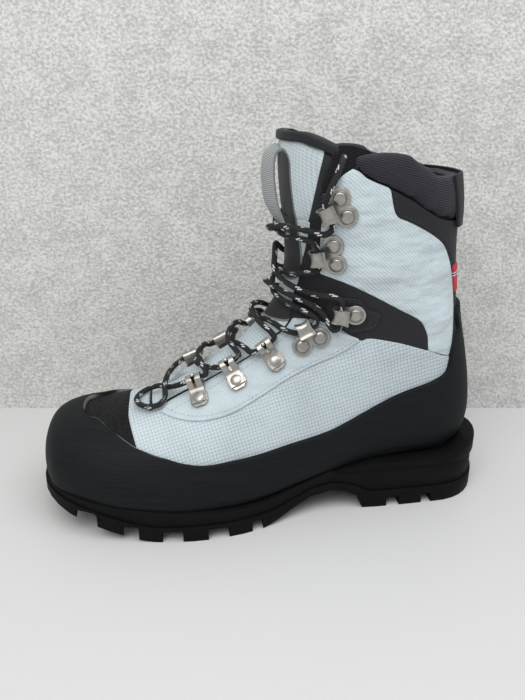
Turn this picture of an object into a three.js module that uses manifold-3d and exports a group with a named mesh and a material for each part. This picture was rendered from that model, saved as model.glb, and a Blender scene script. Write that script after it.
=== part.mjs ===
// A left mountaineering boot: lugged sole, rubber rand, fabric upper with a flexing ankle,
// padded collar, folding tongue and laces held by eyelets and hooks.
// Millimetres. +X to the toe, +Y to the outer side, +Z up, origin on the heel tread.
import * as THREE from "three";
import { mergeVertices } from "three/addons/utils/BufferGeometryUtils.js";
import Module from "manifold-3d";

const wasm = await Module();
wasm.setup();

// Overall sizes. The tables below are drawn for the first three and follow them.
const BOOT_LENGTH = 300;
const BOOT_WIDTH = 112;
const BOOT_HEIGHT = 240;
const DRAWN_LENGTH = 300;
const DRAWN_WIDTH = 112;
const DRAWN_HEIGHT = 240;

// Walls and clearances.
const GAP = 0.3;
const SHELL_WALL = 2.4;
const LINING_WALL = 4.2;
const STIFFENER_WALL = 1.5;
const RAND_WALL = 2.5;
const OVERLAY_WALL = 1.0;
const COLLAR_SWELL = 2.8;
const TAB_WALL = 1.8;
const SEAM_WIDTH = 0.5;

// Sole.
const LUG_DEPTH = 7.5;
const HEEL_LUG_DEPTH = 6.5;
const TREAD_BASE = 2.4;
const MIDSOLE_INSET = 1.2;
const LEDGE_HEIGHT = 4.5;
const LEDGE_LIP = 5.2;
const LEDGE_WIDTH = 15;
const LEDGE_FRONT = 33;
const LEDGE_RAMP = 24;
const SHANK_THICKNESS = 1.6;
const SHANK_WIDTH = 34;
const FOOTBED_THICKNESS = 4;
const PLUG_LENGTH = 26;
const PLUG_WIDTH = 14;
const PLUG_DEPTH = 2;

// Metal fittings and laces.
const PLATE_THICKNESS = 1.3;
const PLATE_RADIUS = 6.2;
const RIVET_RADIUS = 4.1;
const RIVET_HEIGHT = 1.8;
const EYELET_WIDTH = 9.6;
const HOOK_WIDTH = 10;
const LACE_DIAMETER = 3.6;
const LACE_ROOM = 1.1;
const BALL_RADIUS = 1.3;
const LOOP_WIDTH = 13;
const LOOP_THICKNESS = 1.6;

const KX = BOOT_LENGTH / DRAWN_LENGTH;
const KY = BOOT_WIDTH / DRAWN_WIDTH;
const KZ = BOOT_HEIGHT / DRAWN_HEIGHT;

// The upper's outer face, as rings from the toe tip to the collar. Each row holds the ring's
// front point (x, z), its rear point (x, z), the outer and inner half widths, how far from
// front to rear it is widest, the roundness of its front and rear halves, and its centre y.
const RINGS = [
  [243.5, 35, 243.5, 35, 0, 0, 0.55, 2, 2, -12],
  [242.6, 45, 242.8, 27, 16, 14, 0.6, 2.2, 2.4, -12],
  [239, 53.5, 239.4, 22.5, 28.5, 25, 0.64, 2.3, 2.8, -11],
  [232.5, 59, 233, 20.5, 39, 33, 0.68, 2.4, 3.4, -10],
  [220.5, 63.5, 220.5, 19, 46.5, 38.5, 0.7, 2.4, 4, -8],
  [202.5, 66.8, 202.5, 17, 52.5, 43.5, 0.72, 2.3, 4.4, -5],
  [182, 72.5, 180, 15, 55, 46.5, 0.76, 2.2, 4.6, -2],
  [160, 82, 156, 14, 55.5, 47.5, 0.8, 2, 4.8, 0],
  [139, 95, 131, 14.5, 52.5, 45.5, 0.82, 1.95, 4.8, 1],
  [120.5, 108.5, 107, 17, 47.5, 42, 0.82, 1.95, 4.8, 2],
  [106, 122.5, 82, 21, 41.5, 38, 0.8, 2, 4.8, 1.5],
  [96.5, 135, 56, 25, 37.5, 35.5, 0.74, 2, 4.6, 1],
  [90.5, 147, 29, 28, 35, 34.5, 0.66, 2.1, 4.4, 0.5],
  [88.5, 157.5, 3, 30, 35, 35, 0.6, 2.15, 4.2, 0],
  [88, 166, -19, 32, 35.5, 35.5, 0.54, 2.2, 3.8, 0],
  [88.3, 173.5, -34.5, 39, 36, 36, 0.5, 2.2, 3, 0],
  [88.8, 180, -40, 55, 37, 37, 0.48, 2.2, 2.6, 0],
  [89.5, 187, -38.5, 77, 38.5, 38, 0.47, 2.2, 2.4, 0],
  [90.3, 195, -34, 100, 40, 39.5, 0.47, 2.2, 2.3, 0],
  [91.2, 204, -28.5, 123, 41.5, 41, 0.47, 2.25, 2.25, 0],
  [92, 214, -25, 147, 43, 42.5, 0.47, 2.3, 2.2, 0],
  [92.3, 225, -22.5, 172, 44.5, 44, 0.47, 2.3, 2.2, 0],
  [91.5, 238, -21.5, 196, 46, 45.5, 0.47, 2.3, 2.2, 0],
  [90, 252, -17.5, 219, 47, 46.5, 0.47, 2.3, 2.2, 0],
];
const RING_SCALE = [KX, KZ, KX, KZ, KY, KY, 1, 1, 1, KY];
const RING_STEPS = [
  0.5, 1.1, 1.8, 2.6, 3.5, 4.5, 5.5, 6.5, 7.5, 8.5, 9.5, 10.5, 11.5, 12.5, 13.5, 14.5, 15.5, 16.5,
  17.8, 19.2, 20.6, 21.8, 23,
];
const RING_POINTS = 10;

// ---------------------------------------------------------------- the upper's surface

const rings = RINGS.map((row) => row.map((value, i) => value * RING_SCALE[i]));
// A ring before the first one, its mirror image, so that the toe closes roundly.
const beforeToe = rings[1].slice();
[beforeToe[0], beforeToe[1], beforeToe[2], beforeToe[3]] = [2, 3, 0, 1].map((i) => rings[1][i]);
beforeToe[4] = -rings[1][4];
beforeToe[5] = -rings[1][5];
const last = rings.length - 1;
const afterTop = rings[last].map((value, i) => 2 * value - rings[last - 1][i]);
const knots = [beforeToe, ...rings, afterTop];

function ringAt(s) {
  const i = Math.min(Math.floor(s), last - 1);
  const t = s - i;
  const [a, b, c, d] = knots.slice(i, i + 4);
  return b.map(
    (_, k) =>
      0.5 *
      (2 * b[k] +
        (c[k] - a[k]) * t +
        (2 * a[k] - 5 * b[k] + 4 * c[k] - d[k]) * t * t +
        (3 * b[k] - a[k] - 3 * c[k] + d[k]) * t * t * t),
  );
}

// Points of one side of a ring from its front to its rear, evenly spaced along it.
function halfRing(s, side, count) {
  const [fx, fz, bx, bz, outer, inner, widest, frontPower, rearPower, yc] = ringAt(s);
  const width = side > 0 ? outer : inner;
  const fine = [];
  for (let k = 0; k <= 96; k++) {
    const angle = (Math.PI * k) / 96;
    const front = angle <= Math.PI / 2;
    const power = 2 / (front ? frontPower : rearPower);
    const across = Math.abs(Math.sin(angle)) ** power;
    const along = Math.abs(Math.cos(angle)) ** power;
    const t = front ? widest * (1 - along) : widest + (1 - widest) * along;
    fine.push(
      new THREE.Vector3(fx + (bx - fx) * t, yc + side * width * across, fz + (bz - fz) * t),
    );
  }
  if (Math.abs(width) < 1e-6) return Array.from({ length: count }, () => fine[0].clone());
  const lengths = [0];
  fine.forEach((p, k) => k && lengths.push(lengths[k - 1] + p.distanceTo(fine[k - 1])));
  return Array.from({ length: count }, (_, n) => {
    const want = (lengths[96] * n) / (count - 1);
    let k = 0;
    while (k < 95 && lengths[k + 1] < want) k++;
    return fine[k].clone().lerp(fine[k + 1], (want - lengths[k]) / (lengths[k + 1] - lengths[k]));
  });
}

// The whole ring: the outer side from front to rear, then the inner side back.
const grid = RING_STEPS.map((s) => {
  const outer = halfRing(s, 1, RING_POINTS);
  const inner = halfRing(s, -1, RING_POINTS);
  return [...outer, ...inner.slice(1, -1).reverse()];
});
const around = grid[0].length;
const tip = new THREE.Vector3(rings[0][0], rings[0][9], rings[0][1]);

function normalAt(i, j) {
  const before = i > 0 ? grid[i - 1][j] : tip;
  const after = grid[Math.min(i + 1, grid.length - 1)][j];
  const along = after.clone().sub(before);
  const across = grid[i][(j + 1) % around].clone().sub(grid[i][(j + around - 1) % around]);
  return across.cross(along).normalize();
}
const normals = grid.map((ring, i) => ring.map((_, j) => normalAt(i, j)));

// ---------------------------------------------------------------- solids

function solidOf(geometry) {
  const bare = geometry.index ? geometry.toNonIndexed() : geometry.clone();
  bare.deleteAttribute("normal");
  bare.deleteAttribute("uv");
  const merged = mergeVertices(bare, 1e-4);
  return new wasm.Manifold(
    new wasm.Mesh({
      numProp: 3,
      vertProperties: new Float32Array(merged.attributes.position.array),
      triVerts: new Uint32Array(merged.index.array),
    }),
  );
}

// The closed solid inside the upper's outer face moved out by a distance.
const bodies = new Map();
function body(distance) {
  if (bodies.has(distance)) return bodies.get(distance);
  const points = [tip.clone().add(new THREE.Vector3(distance, 0, 0))];
  grid.forEach((ring, i) =>
    ring.forEach((p, j) => points.push(p.clone().addScaledVector(normals[i][j], distance))),
  );
  const top = new THREE.Vector3();
  grid.at(-1).forEach((p) => top.addScaledVector(p, 1 / around));
  points.push(top);
  const at = (i, j) => 1 + i * around + (j % around);
  const faces = [];
  for (let j = 0; j < around; j++) {
    faces.push(0, at(0, j + 1), at(0, j));
    for (let i = 0; i < grid.length - 1; i++) {
      faces.push(at(i, j), at(i + 1, j + 1), at(i + 1, j));
      faces.push(at(i, j), at(i, j + 1), at(i + 1, j + 1));
    }
    faces.push(at(grid.length - 1, j), at(grid.length - 1, j + 1), points.length - 1);
  }
  const made = new wasm.Manifold(
    new wasm.Mesh({
      numProp: 3,
      vertProperties: new Float32Array(points.flatMap((p) => p.toArray())),
      triVerts: new Uint32Array(faces),
    }),
  );
  bodies.set(distance, made);
  return made;
}

const layer = (inside, outside) => body(outside).subtract(body(inside));

// A prism along Y from an outline of drawn (x, z) points.
const HALF_SPAN = 90;
function across(points, from = -HALF_SPAN, to = HALF_SPAN) {
  const shape = new THREE.Shape(points.map(([x, z]) => new THREE.Vector2(x * KX, z * KZ)));
  const geometry = new THREE.ExtrudeGeometry(shape, { depth: to - from, bevelEnabled: false });
  geometry.translate(0, 0, -to);
  geometry.rotateX(Math.PI / 2);
  return solidOf(geometry);
}

const outerHalf = across([[-90, -20], [280, -20], [280, 280], [-90, 280]], 0, HALF_SPAN);
const innerHalf = across([[-90, -20], [280, -20], [280, 280], [-90, 280]], -HALF_SPAN, 0);
const half = (side) => (side > 0 ? outerHalf : innerHalf);

// A line moved sideways by a distance, to its left when the distance is positive.
function beside(line, distance) {
  return line.map((p, i) => {
    const a = line[Math.max(i - 1, 0)];
    const b = line[Math.min(i + 1, line.length - 1)];
    const length = Math.hypot(b[0] - a[0], b[1] - a[1]);
    return [
      p[0] - (distance * (b[1] - a[1])) / length,
      p[1] + (distance * (b[0] - a[0])) / length,
    ];
  });
}

// The gap that a seam leaves between the two panels it joins.
const seam = (line, width = SEAM_WIDTH) =>
  across([...beside(line, width / 2), ...beside(line, -width / 2).reverse()]);

// A prism along Z from a plan outline in real millimetres.
function upright(points, bottom, top) {
  const shape = new THREE.Shape(points.map(([x, y]) => new THREE.Vector2(x, y)));
  const geometry = new THREE.ExtrudeGeometry(shape, { depth: top - bottom, bevelEnabled: false });
  geometry.translate(0, 0, bottom);
  return solidOf(geometry);
}

function box(x0, x1, y0, y1, z0, z1) {
  const geometry = new THREE.BoxGeometry(x1 - x0, y1 - y0, z1 - z0);
  geometry.translate((x0 + x1) / 2, (y0 + y1) / 2, (z0 + z1) / 2);
  return solidOf(geometry);
}

// ---------------------------------------------------------------- outlines, drawn (x, z)

const TOE_SEAM = [[181, 5], [182, 50], [183.3, 55.8], [186.8, 64.2], [189, 68.2], [189.5, 95]];
const LACE_EDGE = [
  [176, 95], [176, 71.5], [165, 76.3], [149.7, 84.1], [135.2, 92.1], [118.2, 101.8],
  [109, 107.5], [96.9, 117.1], [89.5, 122.7], [84.4, 129.8],
];
const GUSSET_BOTTOM = [
  [84.4, 129.8], [71.8, 129.7], [59.4, 125.7], [43.6, 117], [40.2, 118.4], [19.9, 115], [0.5, 108.7],
];
const HEEL_SEAM = [[0.5, 108.7], [-16, 102.3], [-70, 101]];
const GUSSET_TOP = [
  [79, 156], [70.8, 158.8], [52, 152.5], [22.2, 137.2], [7.4, 128.4], [2, 119], [0.5, 108.7],
];
const GUSSET_FRONT = [[84.4, 129.8], [83.5, 145], [79, 156]];
const CUFF_FRONT = [
  [70.8, 158.8], [70.4, 162], [70.9, 177.2], [70.9, 190.1], [68, 204.7], [66.3, 210], [62.6, 215.9],
  [57, 220],
];
const COLLAR_SEAM = [[57, 220], [53.2, 218.6], [48.7, 215.1], [35.3, 209.7]];
const COLLAR_REAR = [[35.3, 209.7], [19.4, 201.2], [7.4, 194.1], [-3.9, 189.4], [-70, 186]];
const COLLAR_TOP = [
  [59.5, 221], [56.9, 225.5], [54.1, 227.9], [47.8, 229.2], [42.5, 230.1], [32.6, 229.7],
  [21.6, 226.3], [7.8, 218.3], [1.8, 216.4], [-70, 214],
];
const BACKSTAY_FRONT = [
  [35.3, 209.7], [29.9, 194.3], [23.7, 191.4], [13.3, 186.4], [3.2, 180.6], [-4, 175],
  [-8.6, 168.2], [-12.5, 160.6], [-16.8, 146.1], [-19, 131], [-17.5, 108], [-16, 102.3],
];
const RAND_TOP = [
  [-70, 132], [-19.5, 131], [-21.8, 118], [-17.1, 108.2], [-15.6, 98.7], [-13.3, 91.8],
  [17.2, 80], [58.5, 59.4], [92, 52.8], [125.8, 48.8], [143.3, 47.7], [157.8, 50.1],
  [166.2, 52.6], [182.5, 56.9], [194.5, 61.1], [206.5, 63.9], [219, 64.7], [221, 80],
];
// The sole keeps its real thickness whatever the boot's height, and the rand stands on it.
const SOLE_RISE = (LUG_DEPTH + TREAD_BASE) * (1 / KZ - 1);
const RAND_BOTTOM = [
  [270, 28], [236, 27], [219, 25.2], [199, 23.1], [184, 21.7], [155, 19.5], [129, 17.6],
  [106, 18], [83, 23], [61, 29], [42, 32], [16, 34.5], [-10, 35.5], [-26, 38], [-36, 41.5],
  [-70, 43],
].map(([x, z]) => [x, z + SOLE_RISE]);
const FACING_SEAM = [
  [44.3, 117.9], [56.9, 108.8], [72, 102.2], [87.5, 94.9], [106.5, 84.8], [125.8, 75.5],
  [136.4, 72.6], [148.7, 71.1], [161.3, 71.7], [168, 72.6],
];
const ANKLE_PLATE = [
  [65.5, 141], [61, 143.9], [49.5, 144.5], [44.8, 142.9], [41, 137.8], [37, 136.6],
  [33.8, 135], [34, 130], [36.3, 125.6], [42, 123.7], [49.6, 122.5], [59.4, 127.2], [65.5, 129.8],
];
// The edge of the lining, where the tongue's wings begin, from the toe to the ankle.
const TONGUE_WING = [
  [184, 95], [184, 64], [165, 67.5], [150, 74], [135, 82], [118, 92], [97, 106], [82, 117],
  [74, 128], [66, 145], [62, 160], [61, 176], [61, 197],
];
const TONGUE_FOLD = 197.5;
const TONGUE_TOP_EDGE = [[105, 237.5], [92, 237], [84, 236.6], [76, 234], [66, 229.5]];
const TONGUE_TOP_SIDE = [[66, 229.5], [66.5, 224], [68.4, 216], [70.4, 210], [72, 203], [73, TONGUE_FOLD]];
const BINDING_HEIGHT = 4;
const ANKLE_BAND_BOTTOM = [[-70, 98], [0, 102], [40, 109], [84, 112], [130, 113]];
const ANKLE_BAND_TOP = [[-70, 122], [0, 128], [40, 140], [66, 152], [130, 160]];
const LINING_TOP = [
  [-70, 100], [58, 100], [58, 206], [56, 219], [47.8, 226], [42.5, 227], [32.6, 226.5],
  [21.6, 223.5], [7.8, 215.5], [-70, 211],
];

// ---------------------------------------------------------------- foot: the sole

// Half of the tread's plan outline, outer side then inner side, drawn (x, y).
const TREAD_OUTER = [
  [-51.5, 0], [-48.8, 14], [-42.5, 26], [-33, 35], [-21, 39.8], [0, 41], [25, 41.5], [45, 40.8],
  [65, 41.5], [85, 46.5], [105, 53.5], [125, 58.8], [145, 61], [165, 60], [185, 56.5],
  [205, 51.5], [222, 43.5], [236, 31.5], [244.5, 16], [247, -2],
];
const TREAD_INNER = [
  [246.5, -18], [243, -31], [236, -41.5], [225, -48.5], [210, -52], [190, -52], [165, -50.5],
  [140, -48], [115, -44], [90, -40], [65, -38], [40, -38.5], [15, -39.5], [-10, -39.5],
  [-26, -37], [-38, -30], [-47, -17.5],
];
const planCurve = new THREE.CatmullRomCurve3(
  [...TREAD_OUTER, ...TREAD_INNER].map(([x, y]) => new THREE.Vector3(x * KX, y * KY, 0)),
  true,
  "centripetal",
);
const treadPlan = planCurve.getPoints(72).slice(0, -1).map((p) => [p.x, p.y]);

function inset(points, distance) {
  const clockwise = THREE.ShapeUtils.area(points.map(([x, y]) => new THREE.Vector2(x, y))) < 0;
  const sign = clockwise ? -1 : 1;
  return points.map((p, i) => {
    const a = points[(i + points.length - 1) % points.length];
    const b = points[(i + 1) % points.length];
    const length = Math.hypot(b[0] - a[0], b[1] - a[1]);
    return [
      p[0] - (sign * distance * (b[1] - a[1])) / length,
      p[1] + (sign * distance * (b[0] - a[0])) / length,
    ];
  });
}

const TREAD_BOTTOM = [
  [-70, 0], [38.5, 0], [39.5, 2], [43, 10], [50, 13.5], [61, 15.5], [75, 13.5], [88, 8],
  [99, 3], [108, 0], [176, 0], [186, 1.6], [197, 4.6], [212, 9], [227, 13], [239, 17], [260, 22],
];
const OVER_LUGS = LUG_DEPTH + TREAD_BASE + SOLE_RISE;
const TREAD_TOP = [
  [-70, 12], [34, 12], [44, 17], [52, 19.5], [61, 20.5], [75, 18.5], [88, 14], [99, 11],
  [112, OVER_LUGS], [176, OVER_LUGS], [186, 1.6 + OVER_LUGS], [197, 4.6 + OVER_LUGS],
  [212, 8.6 + OVER_LUGS], [227, 11.6 + OVER_LUGS], [239, 14.1 + OVER_LUGS], [260, 16.1 + OVER_LUGS],
];
const MIDSOLE_BOTTOM = TREAD_TOP.map(([x, z]) => [x, z + GAP / KZ]);
const MIDSOLE_TOP = [
  ...RAND_BOTTOM.slice(0, 10).map(([x, z]) => [x, z - GAP / KZ]),
  [LEDGE_FRONT + LEDGE_RAMP, 28], [-70, 28],
];
const FOREFOOT_GROOVES = [[217, 13], [190, 9.5], [164.5, 12.5], [136, 13], [111, 7]];
const HEEL_GROOVES = [[17.5, 9], [-6, 7]];
const CENTRE_GROOVES = [19, -17];
const CENTRE_GROOVE_WIDTH = 5;

function grooves() {
  const cuts = FOREFOOT_GROOVES.map(([x, width]) => {
    const top = LUG_DEPTH + bottomAt(x);
    return box((x - width / 2) * KX, (x + width / 2) * KX, -HALF_SPAN, HALF_SPAN, -5, top);
  });
  HEEL_GROOVES.forEach(([x, width]) =>
    cuts.push(
      box((x - width / 2) * KX, (x + width / 2) * KX, -HALF_SPAN, HALF_SPAN, -5, HEEL_LUG_DEPTH),
    ),
  );
  CENTRE_GROOVES.forEach((y) => {
    const middle = y * KY;
    cuts.push(
      box(100 * KX, 205 * KX, middle - CENTRE_GROOVE_WIDTH / 2, middle + CENTRE_GROOVE_WIDTH / 2, -5,
        LUG_DEPTH),
    );
  });
  return cuts;
}

function bottomAt(x) {
  const k = TREAD_BOTTOM.findIndex((p) => p[0] > x);
  const [a, b] = [TREAD_BOTTOM[k - 1], TREAD_BOTTOM[k]];
  return (a[1] + ((b[1] - a[1]) * (x - a[0])) / (b[0] - a[0])) * KZ;
}

const plugX = 62 * KX;
const plugPlan = (grow) =>
  Array.from({ length: 20 }, (_, k) => {
    const angle = (k * Math.PI) / 10;
    return [
      plugX + (PLUG_LENGTH / 2 + grow) * Math.cos(angle),
      (PLUG_WIDTH / 2 + grow) * Math.sin(angle),
    ];
  });
const plugBottom = bottomAt(61) - 1;

const below = (line, distance) => line.map(([x, z]) => [x, z - distance / KZ]);

// What the rand takes up, with its clearance.
const randEnvelope = body(RAND_WALL + 2 * GAP).intersect(
  across([...below(RAND_BOTTOM, GAP), [-70, 300], [270, 300]]),
);

function outsole() {
  let made = upright(treadPlan, -5, 40)
    .intersect(across([...TREAD_BOTTOM, ...TREAD_TOP.slice().reverse()]));
  grooves().forEach((cut) => (made = made.subtract(cut)));
  return made
    .subtract(upright(plugPlan(GAP), -5, plugBottom + PLUG_DEPTH + GAP))
    .subtract(body(GAP))
    .subtract(randEnvelope);
}

const archPlug = () => upright(plugPlan(0), plugBottom, plugBottom + PLUG_DEPTH);

// The underside of the upper along the middle of the foot, drawn (x, z).
const UNDERSIDE = RINGS.slice(2, 16).map((row) => [row[2], row[3]]);
const SHANK_LINE = UNDERSIDE.filter(([x]) => x < 125 && x > -25);

// The shank's line, each end moved out by a clearance.
function shankProfile(grow) {
  const line = SHANK_LINE.map((p) => p.slice());
  line[0][0] += grow;
  line.at(-1)[0] -= grow;
  return line;
}
const shankSpan = (grow) => [-SHANK_WIDTH / 2 - grow, SHANK_WIDTH / 2 + grow];

function shankPlate() {
  const line = shankProfile(0);
  const top = below(line, 2 * GAP);
  const bottom = below(line, 2 * GAP + SHANK_THICKNESS).reverse();
  return across([...top, ...bottom], ...shankSpan(0));
}

const heelSeat = 28 * KZ;
const ledgeTop = heelSeat + GAP + LEDGE_HEIGHT;

function midsole() {
  const line = shankProfile(GAP);
  const pocket = across(
    [...below(line, -20), ...below(line, 3 * GAP + SHANK_THICKNESS).reverse()],
    ...shankSpan(GAP),
  );
  const raised = upright(inset(treadPlan, LEDGE_WIDTH + GAP), heelSeat - 1, 60)
    .intersect(box(-80, 60 * KX, -HALF_SPAN, HALF_SPAN, 0, ledgeTop + LEDGE_LIP));
  return upright(inset(treadPlan, MIDSOLE_INSET), -5, 60)
    .intersect(across([...MIDSOLE_BOTTOM, ...MIDSOLE_TOP]))
    .add(raised)
    .subtract(body(GAP))
    .subtract(randEnvelope)
    .subtract(pocket);
}

// A stiff welt around the heel, whose raised rear lip takes a crampon's heel lever.
function heelLedge() {
  const bottom = heelSeat + GAP;
  const lip = ledgeTop + LEDGE_LIP;
  const profile = [
    [LEDGE_FRONT + LEDGE_RAMP, bottom / KZ], [LEDGE_FRONT, ledgeTop / KZ], [-20, ledgeTop / KZ],
    [-38, lip / KZ], [-80, lip / KZ], [-80, bottom / KZ],
  ];
  return upright(treadPlan, bottom, lip)
    .intersect(across(profile))
    .subtract(upright(inset(treadPlan, LEDGE_WIDTH), bottom - 1, lip + 1))
    .subtract(body(GAP))
    .subtract(randEnvelope);
}

// ---------------------------------------------------------------- foot: the upper

const shell = layer(-SHELL_WALL, 0);
const liningOut = -SHELL_WALL - GAP;
const liningIn = liningOut - LINING_WALL;
const lining = layer(liningIn, liningOut);
const BOARD_EDGE = RAND_BOTTOM.map(([x, z]) => [x, z + 1.5]);
const aboveBoard = across([...BOARD_EDGE, [-70, 300], [270, 300]]);
const boardSeam = seam(BOARD_EDGE);

function lastingBoard() {
  return shell
    .intersect(across([...BOARD_EDGE, [-70, -10], [270, -10]]))
    .subtract(boardSeam);
}

const toePanel = () =>
  shell
    .intersect(across([...TOE_SEAM, [270, 95], [270, 5]]))
    .intersect(aboveBoard)
    .subtract(boardSeam)
    .subtract(seam(TOE_SEAM));

const quarterOutline = [
  ...TOE_SEAM, ...LACE_EDGE, ...GUSSET_BOTTOM.slice(1), ...HEEL_SEAM.slice(1), [-70, 5],
];
const quarter = () =>
  shell
    .intersect(across(quarterOutline))
    .intersect(aboveBoard)
    .subtract(boardSeam)
    .subtract(seam(TOE_SEAM))
    .subtract(seam(GUSSET_BOTTOM))
    .subtract(seam(HEEL_SEAM));

// The rubber band around the upper. Behind the ankle its top goes with the shaft.
const rubberBand = layer(GAP, GAP + RAND_WALL).intersect(
  across([...RAND_TOP, [270, 80], ...RAND_BOTTOM]),
);
const aboveHeelSeam = across([HEEL_SEAM[1], [-16, 140], [-70, 140], HEEL_SEAM[2]])
  .add(across([HEEL_SEAM[0], [0.5, 140], [-16, 140], HEEL_SEAM[1]]));
const rand = () => rubberBand.subtract(aboveHeelSeam).subtract(seam(HEEL_SEAM));
const heelCap = () => rubberBand.intersect(aboveHeelSeam).subtract(seam(HEEL_SEAM));

const stiffenerOut = -SHELL_WALL - GAP;
const stiffenerIn = stiffenerOut - STIFFENER_WALL;
const TOE_PUFF = [[198, 31], [198, 95], [270, 95], [270, 31]];
const HEEL_COUNTER = [[-70, 44], [-70, 90], [-12, 87], [12, 74], [16, 44]];
const toePuff = () => layer(stiffenerIn, stiffenerOut).intersect(across(TOE_PUFF));
const heelCounter = () => layer(stiffenerIn, stiffenerOut).intersect(across(HEEL_COUNTER));

// The room that a stiffener takes from the lining, with its clearance.
function stiffenerRoom(outline) {
  const centre = [0, 1].map((k) => outline.reduce((sum, p) => sum + p[k] / outline.length, 0));
  const grown = outline.map(([x, z]) => [
    x + Math.sign(x - centre[0]) * 2 * GAP,
    z + Math.sign(z - centre[1]) * 2 * GAP,
  ]);
  return layer(stiffenerIn - GAP, 0).intersect(across(grown));
}

const belowWing = across([
  ...TONGUE_WING, [61, 300], [-90, 300], [-90, -20], [270, -20], [270, 95],
]);
const liningFoot = () =>
  lining
    .intersect(belowWing)
    .subtract(seam(TONGUE_WING, 2 * SEAM_WIDTH))
    .intersect(across([...ANKLE_BAND_BOTTOM, [270, 113], [270, -20], [-90, -20], [-90, 98]]))
    .subtract(seam(ANKLE_BAND_BOTTOM))
    .subtract(stiffenerRoom(TOE_PUFF))
    .subtract(stiffenerRoom(HEEL_COUNTER));
const ankleLining = () =>
  lining
    .intersect(belowWing)
    .subtract(seam(TONGUE_WING, 2 * SEAM_WIDTH))
    .intersect(across([...ANKLE_BAND_BOTTOM, ...ANKLE_BAND_TOP.slice().reverse()]))
    .subtract(seam(ANKLE_BAND_BOTTOM))
    .subtract(seam(ANKLE_BAND_TOP));

const footbed = () => {
  const line = below(UNDERSIDE, liningIn - GAP);
  const top = below(UNDERSIDE, liningIn - GAP - FOOTBED_THICKNESS);
  return body(liningIn - GAP).intersect(
    across([...below(line, 20), ...top.reverse()]),
  );
};

const facing = (side) =>
  layer(GAP, GAP + OVERLAY_WALL)
    .intersect(half(side))
    .intersect(
      across([
        ...beside(LACE_EDGE.slice(2), 1.2), [71.8, 128.6], [59.4, 124.4],
        [44.3, 117.9], ...FACING_SEAM.slice(1),
      ]),
    );

const gusset = (side) =>
  shell
    .intersect(half(side))
    .intersect(across([...GUSSET_FRONT, ...GUSSET_TOP.slice(1), ...GUSSET_BOTTOM.slice(1, -1).reverse()]))
    .subtract(seam(GUSSET_TOP))
    .subtract(seam(GUSSET_BOTTOM));

const anklePlate = (side) =>
  layer(GAP, GAP + OVERLAY_WALL).intersect(half(side)).intersect(across(ANKLE_PLATE));

// ---------------------------------------------------------------- shaft

const cuff = (side) =>
  shell
    .intersect(half(side))
    .intersect(
      across([
        ...CUFF_FRONT, ...COLLAR_SEAM.slice(1), ...BACKSTAY_FRONT.slice(1), [0.5, 108.7],
        ...GUSSET_TOP.slice(1, -1).reverse(),
      ]),
    )
    .subtract(seam(GUSSET_TOP))
    .subtract(seam(HEEL_SEAM))
    .subtract(seam(BACKSTAY_FRONT))
    .subtract(seam(COLLAR_SEAM));

const backstay = () =>
  shell
    .intersect(across([...BACKSTAY_FRONT, [-70, 101], ...COLLAR_REAR.slice().reverse()]))
    .subtract(seam(HEEL_SEAM))
    .subtract(seam(BACKSTAY_FRONT))
    .subtract(seam(COLLAR_REAR));

const collarOutline = [...COLLAR_TOP, ...COLLAR_REAR.slice().reverse(), ...COLLAR_SEAM.slice(0, -1).reverse()];
const collarPad = () =>
  layer(-SHELL_WALL, COLLAR_SWELL)
    .intersect(across(collarOutline))
    .subtract(seam([...COLLAR_SEAM, ...COLLAR_REAR.slice(1)]));

const shaftLining = () =>
  lining
    .intersect(across(LINING_TOP))
    .intersect(across([...ANKLE_BAND_TOP, [130, 300], [-70, 300]]))
    .subtract(seam(ANKLE_BAND_TOP));

const HEEL_TAB = [[-4, 215.6], [-9, 198], [-12, 184], [-70, 184], [-70, 214.5]];
const heelTab = () =>
  layer(COLLAR_SWELL + GAP, COLLAR_SWELL + GAP + TAB_WALL).intersect(across(HEEL_TAB));

const SIDE_TAG = [[-13.3, 160.5], [-17.2, 143], [-24.2, 143], [-20.4, 160.5]];
const sideTag = () =>
  layer(GAP, GAP + OVERLAY_WALL).intersect(outerHalf).intersect(across(SIDE_TAG));

// ---------------------------------------------------------------- tongue

const tongueBack = liningIn;

function tongueLower() {
  const wings = layer(tongueBack, liningOut).intersect(
    across([...TONGUE_WING.slice(1), [130, 197], [184, 110]]),
  );
  const edge = beside(LACE_EDGE.slice(1), -1.4);
  const face = layer(tongueBack, -GAP).intersect(
    across([
      [174.6, 95], [174.6, 73.6], ...edge.slice(1, -1), [86, 131], [85, 146],
      [80.4, 157], [72.4, 163], [72.4, 190], [71.6, 197], [130, 197],
    ]),
  );
  return wings.add(face);
}

const tongueUpper = () =>
  layer(tongueBack, -GAP).intersect(
    across([...TONGUE_TOP_EDGE.map(([x, z]) => [x, z - 0.5]), ...TONGUE_TOP_SIDE.slice(1), [105, TONGUE_FOLD]]),
  );

const tongueBinding = () =>
  layer(tongueBack - GAP, GAP).intersect(
    across([
      ...TONGUE_TOP_EDGE.map(([x, z]) => [x, z + BINDING_HEIGHT]).reverse(), ...TONGUE_TOP_EDGE,
    ]),
  );

// A webbing loop that stands off the tongue's face: its outer side, drawn (x, z).
const LOOP_OUTER = [
  [91.5, 235.5], [97, 231], [101, 222], [102, 212], [100.5, 204], [96.5, 199.6], [90.5, 198.6],
];
function pullLoop() {
  const curve = new THREE.CatmullRomCurve3(
    LOOP_OUTER.map(([x, z]) => new THREE.Vector3(x, z, 0)), false, "centripetal",
  );
  const outside = curve.getPoints(16).map((p) => [p.x, p.y]);
  const inside = beside(outside, -LOOP_THICKNESS).reverse();
  return across([...outside, ...inside], -LOOP_WIDTH / 2, LOOP_WIDTH / 2).subtract(body(GAP));
}

// ---------------------------------------------------------------- metal fittings

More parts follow.
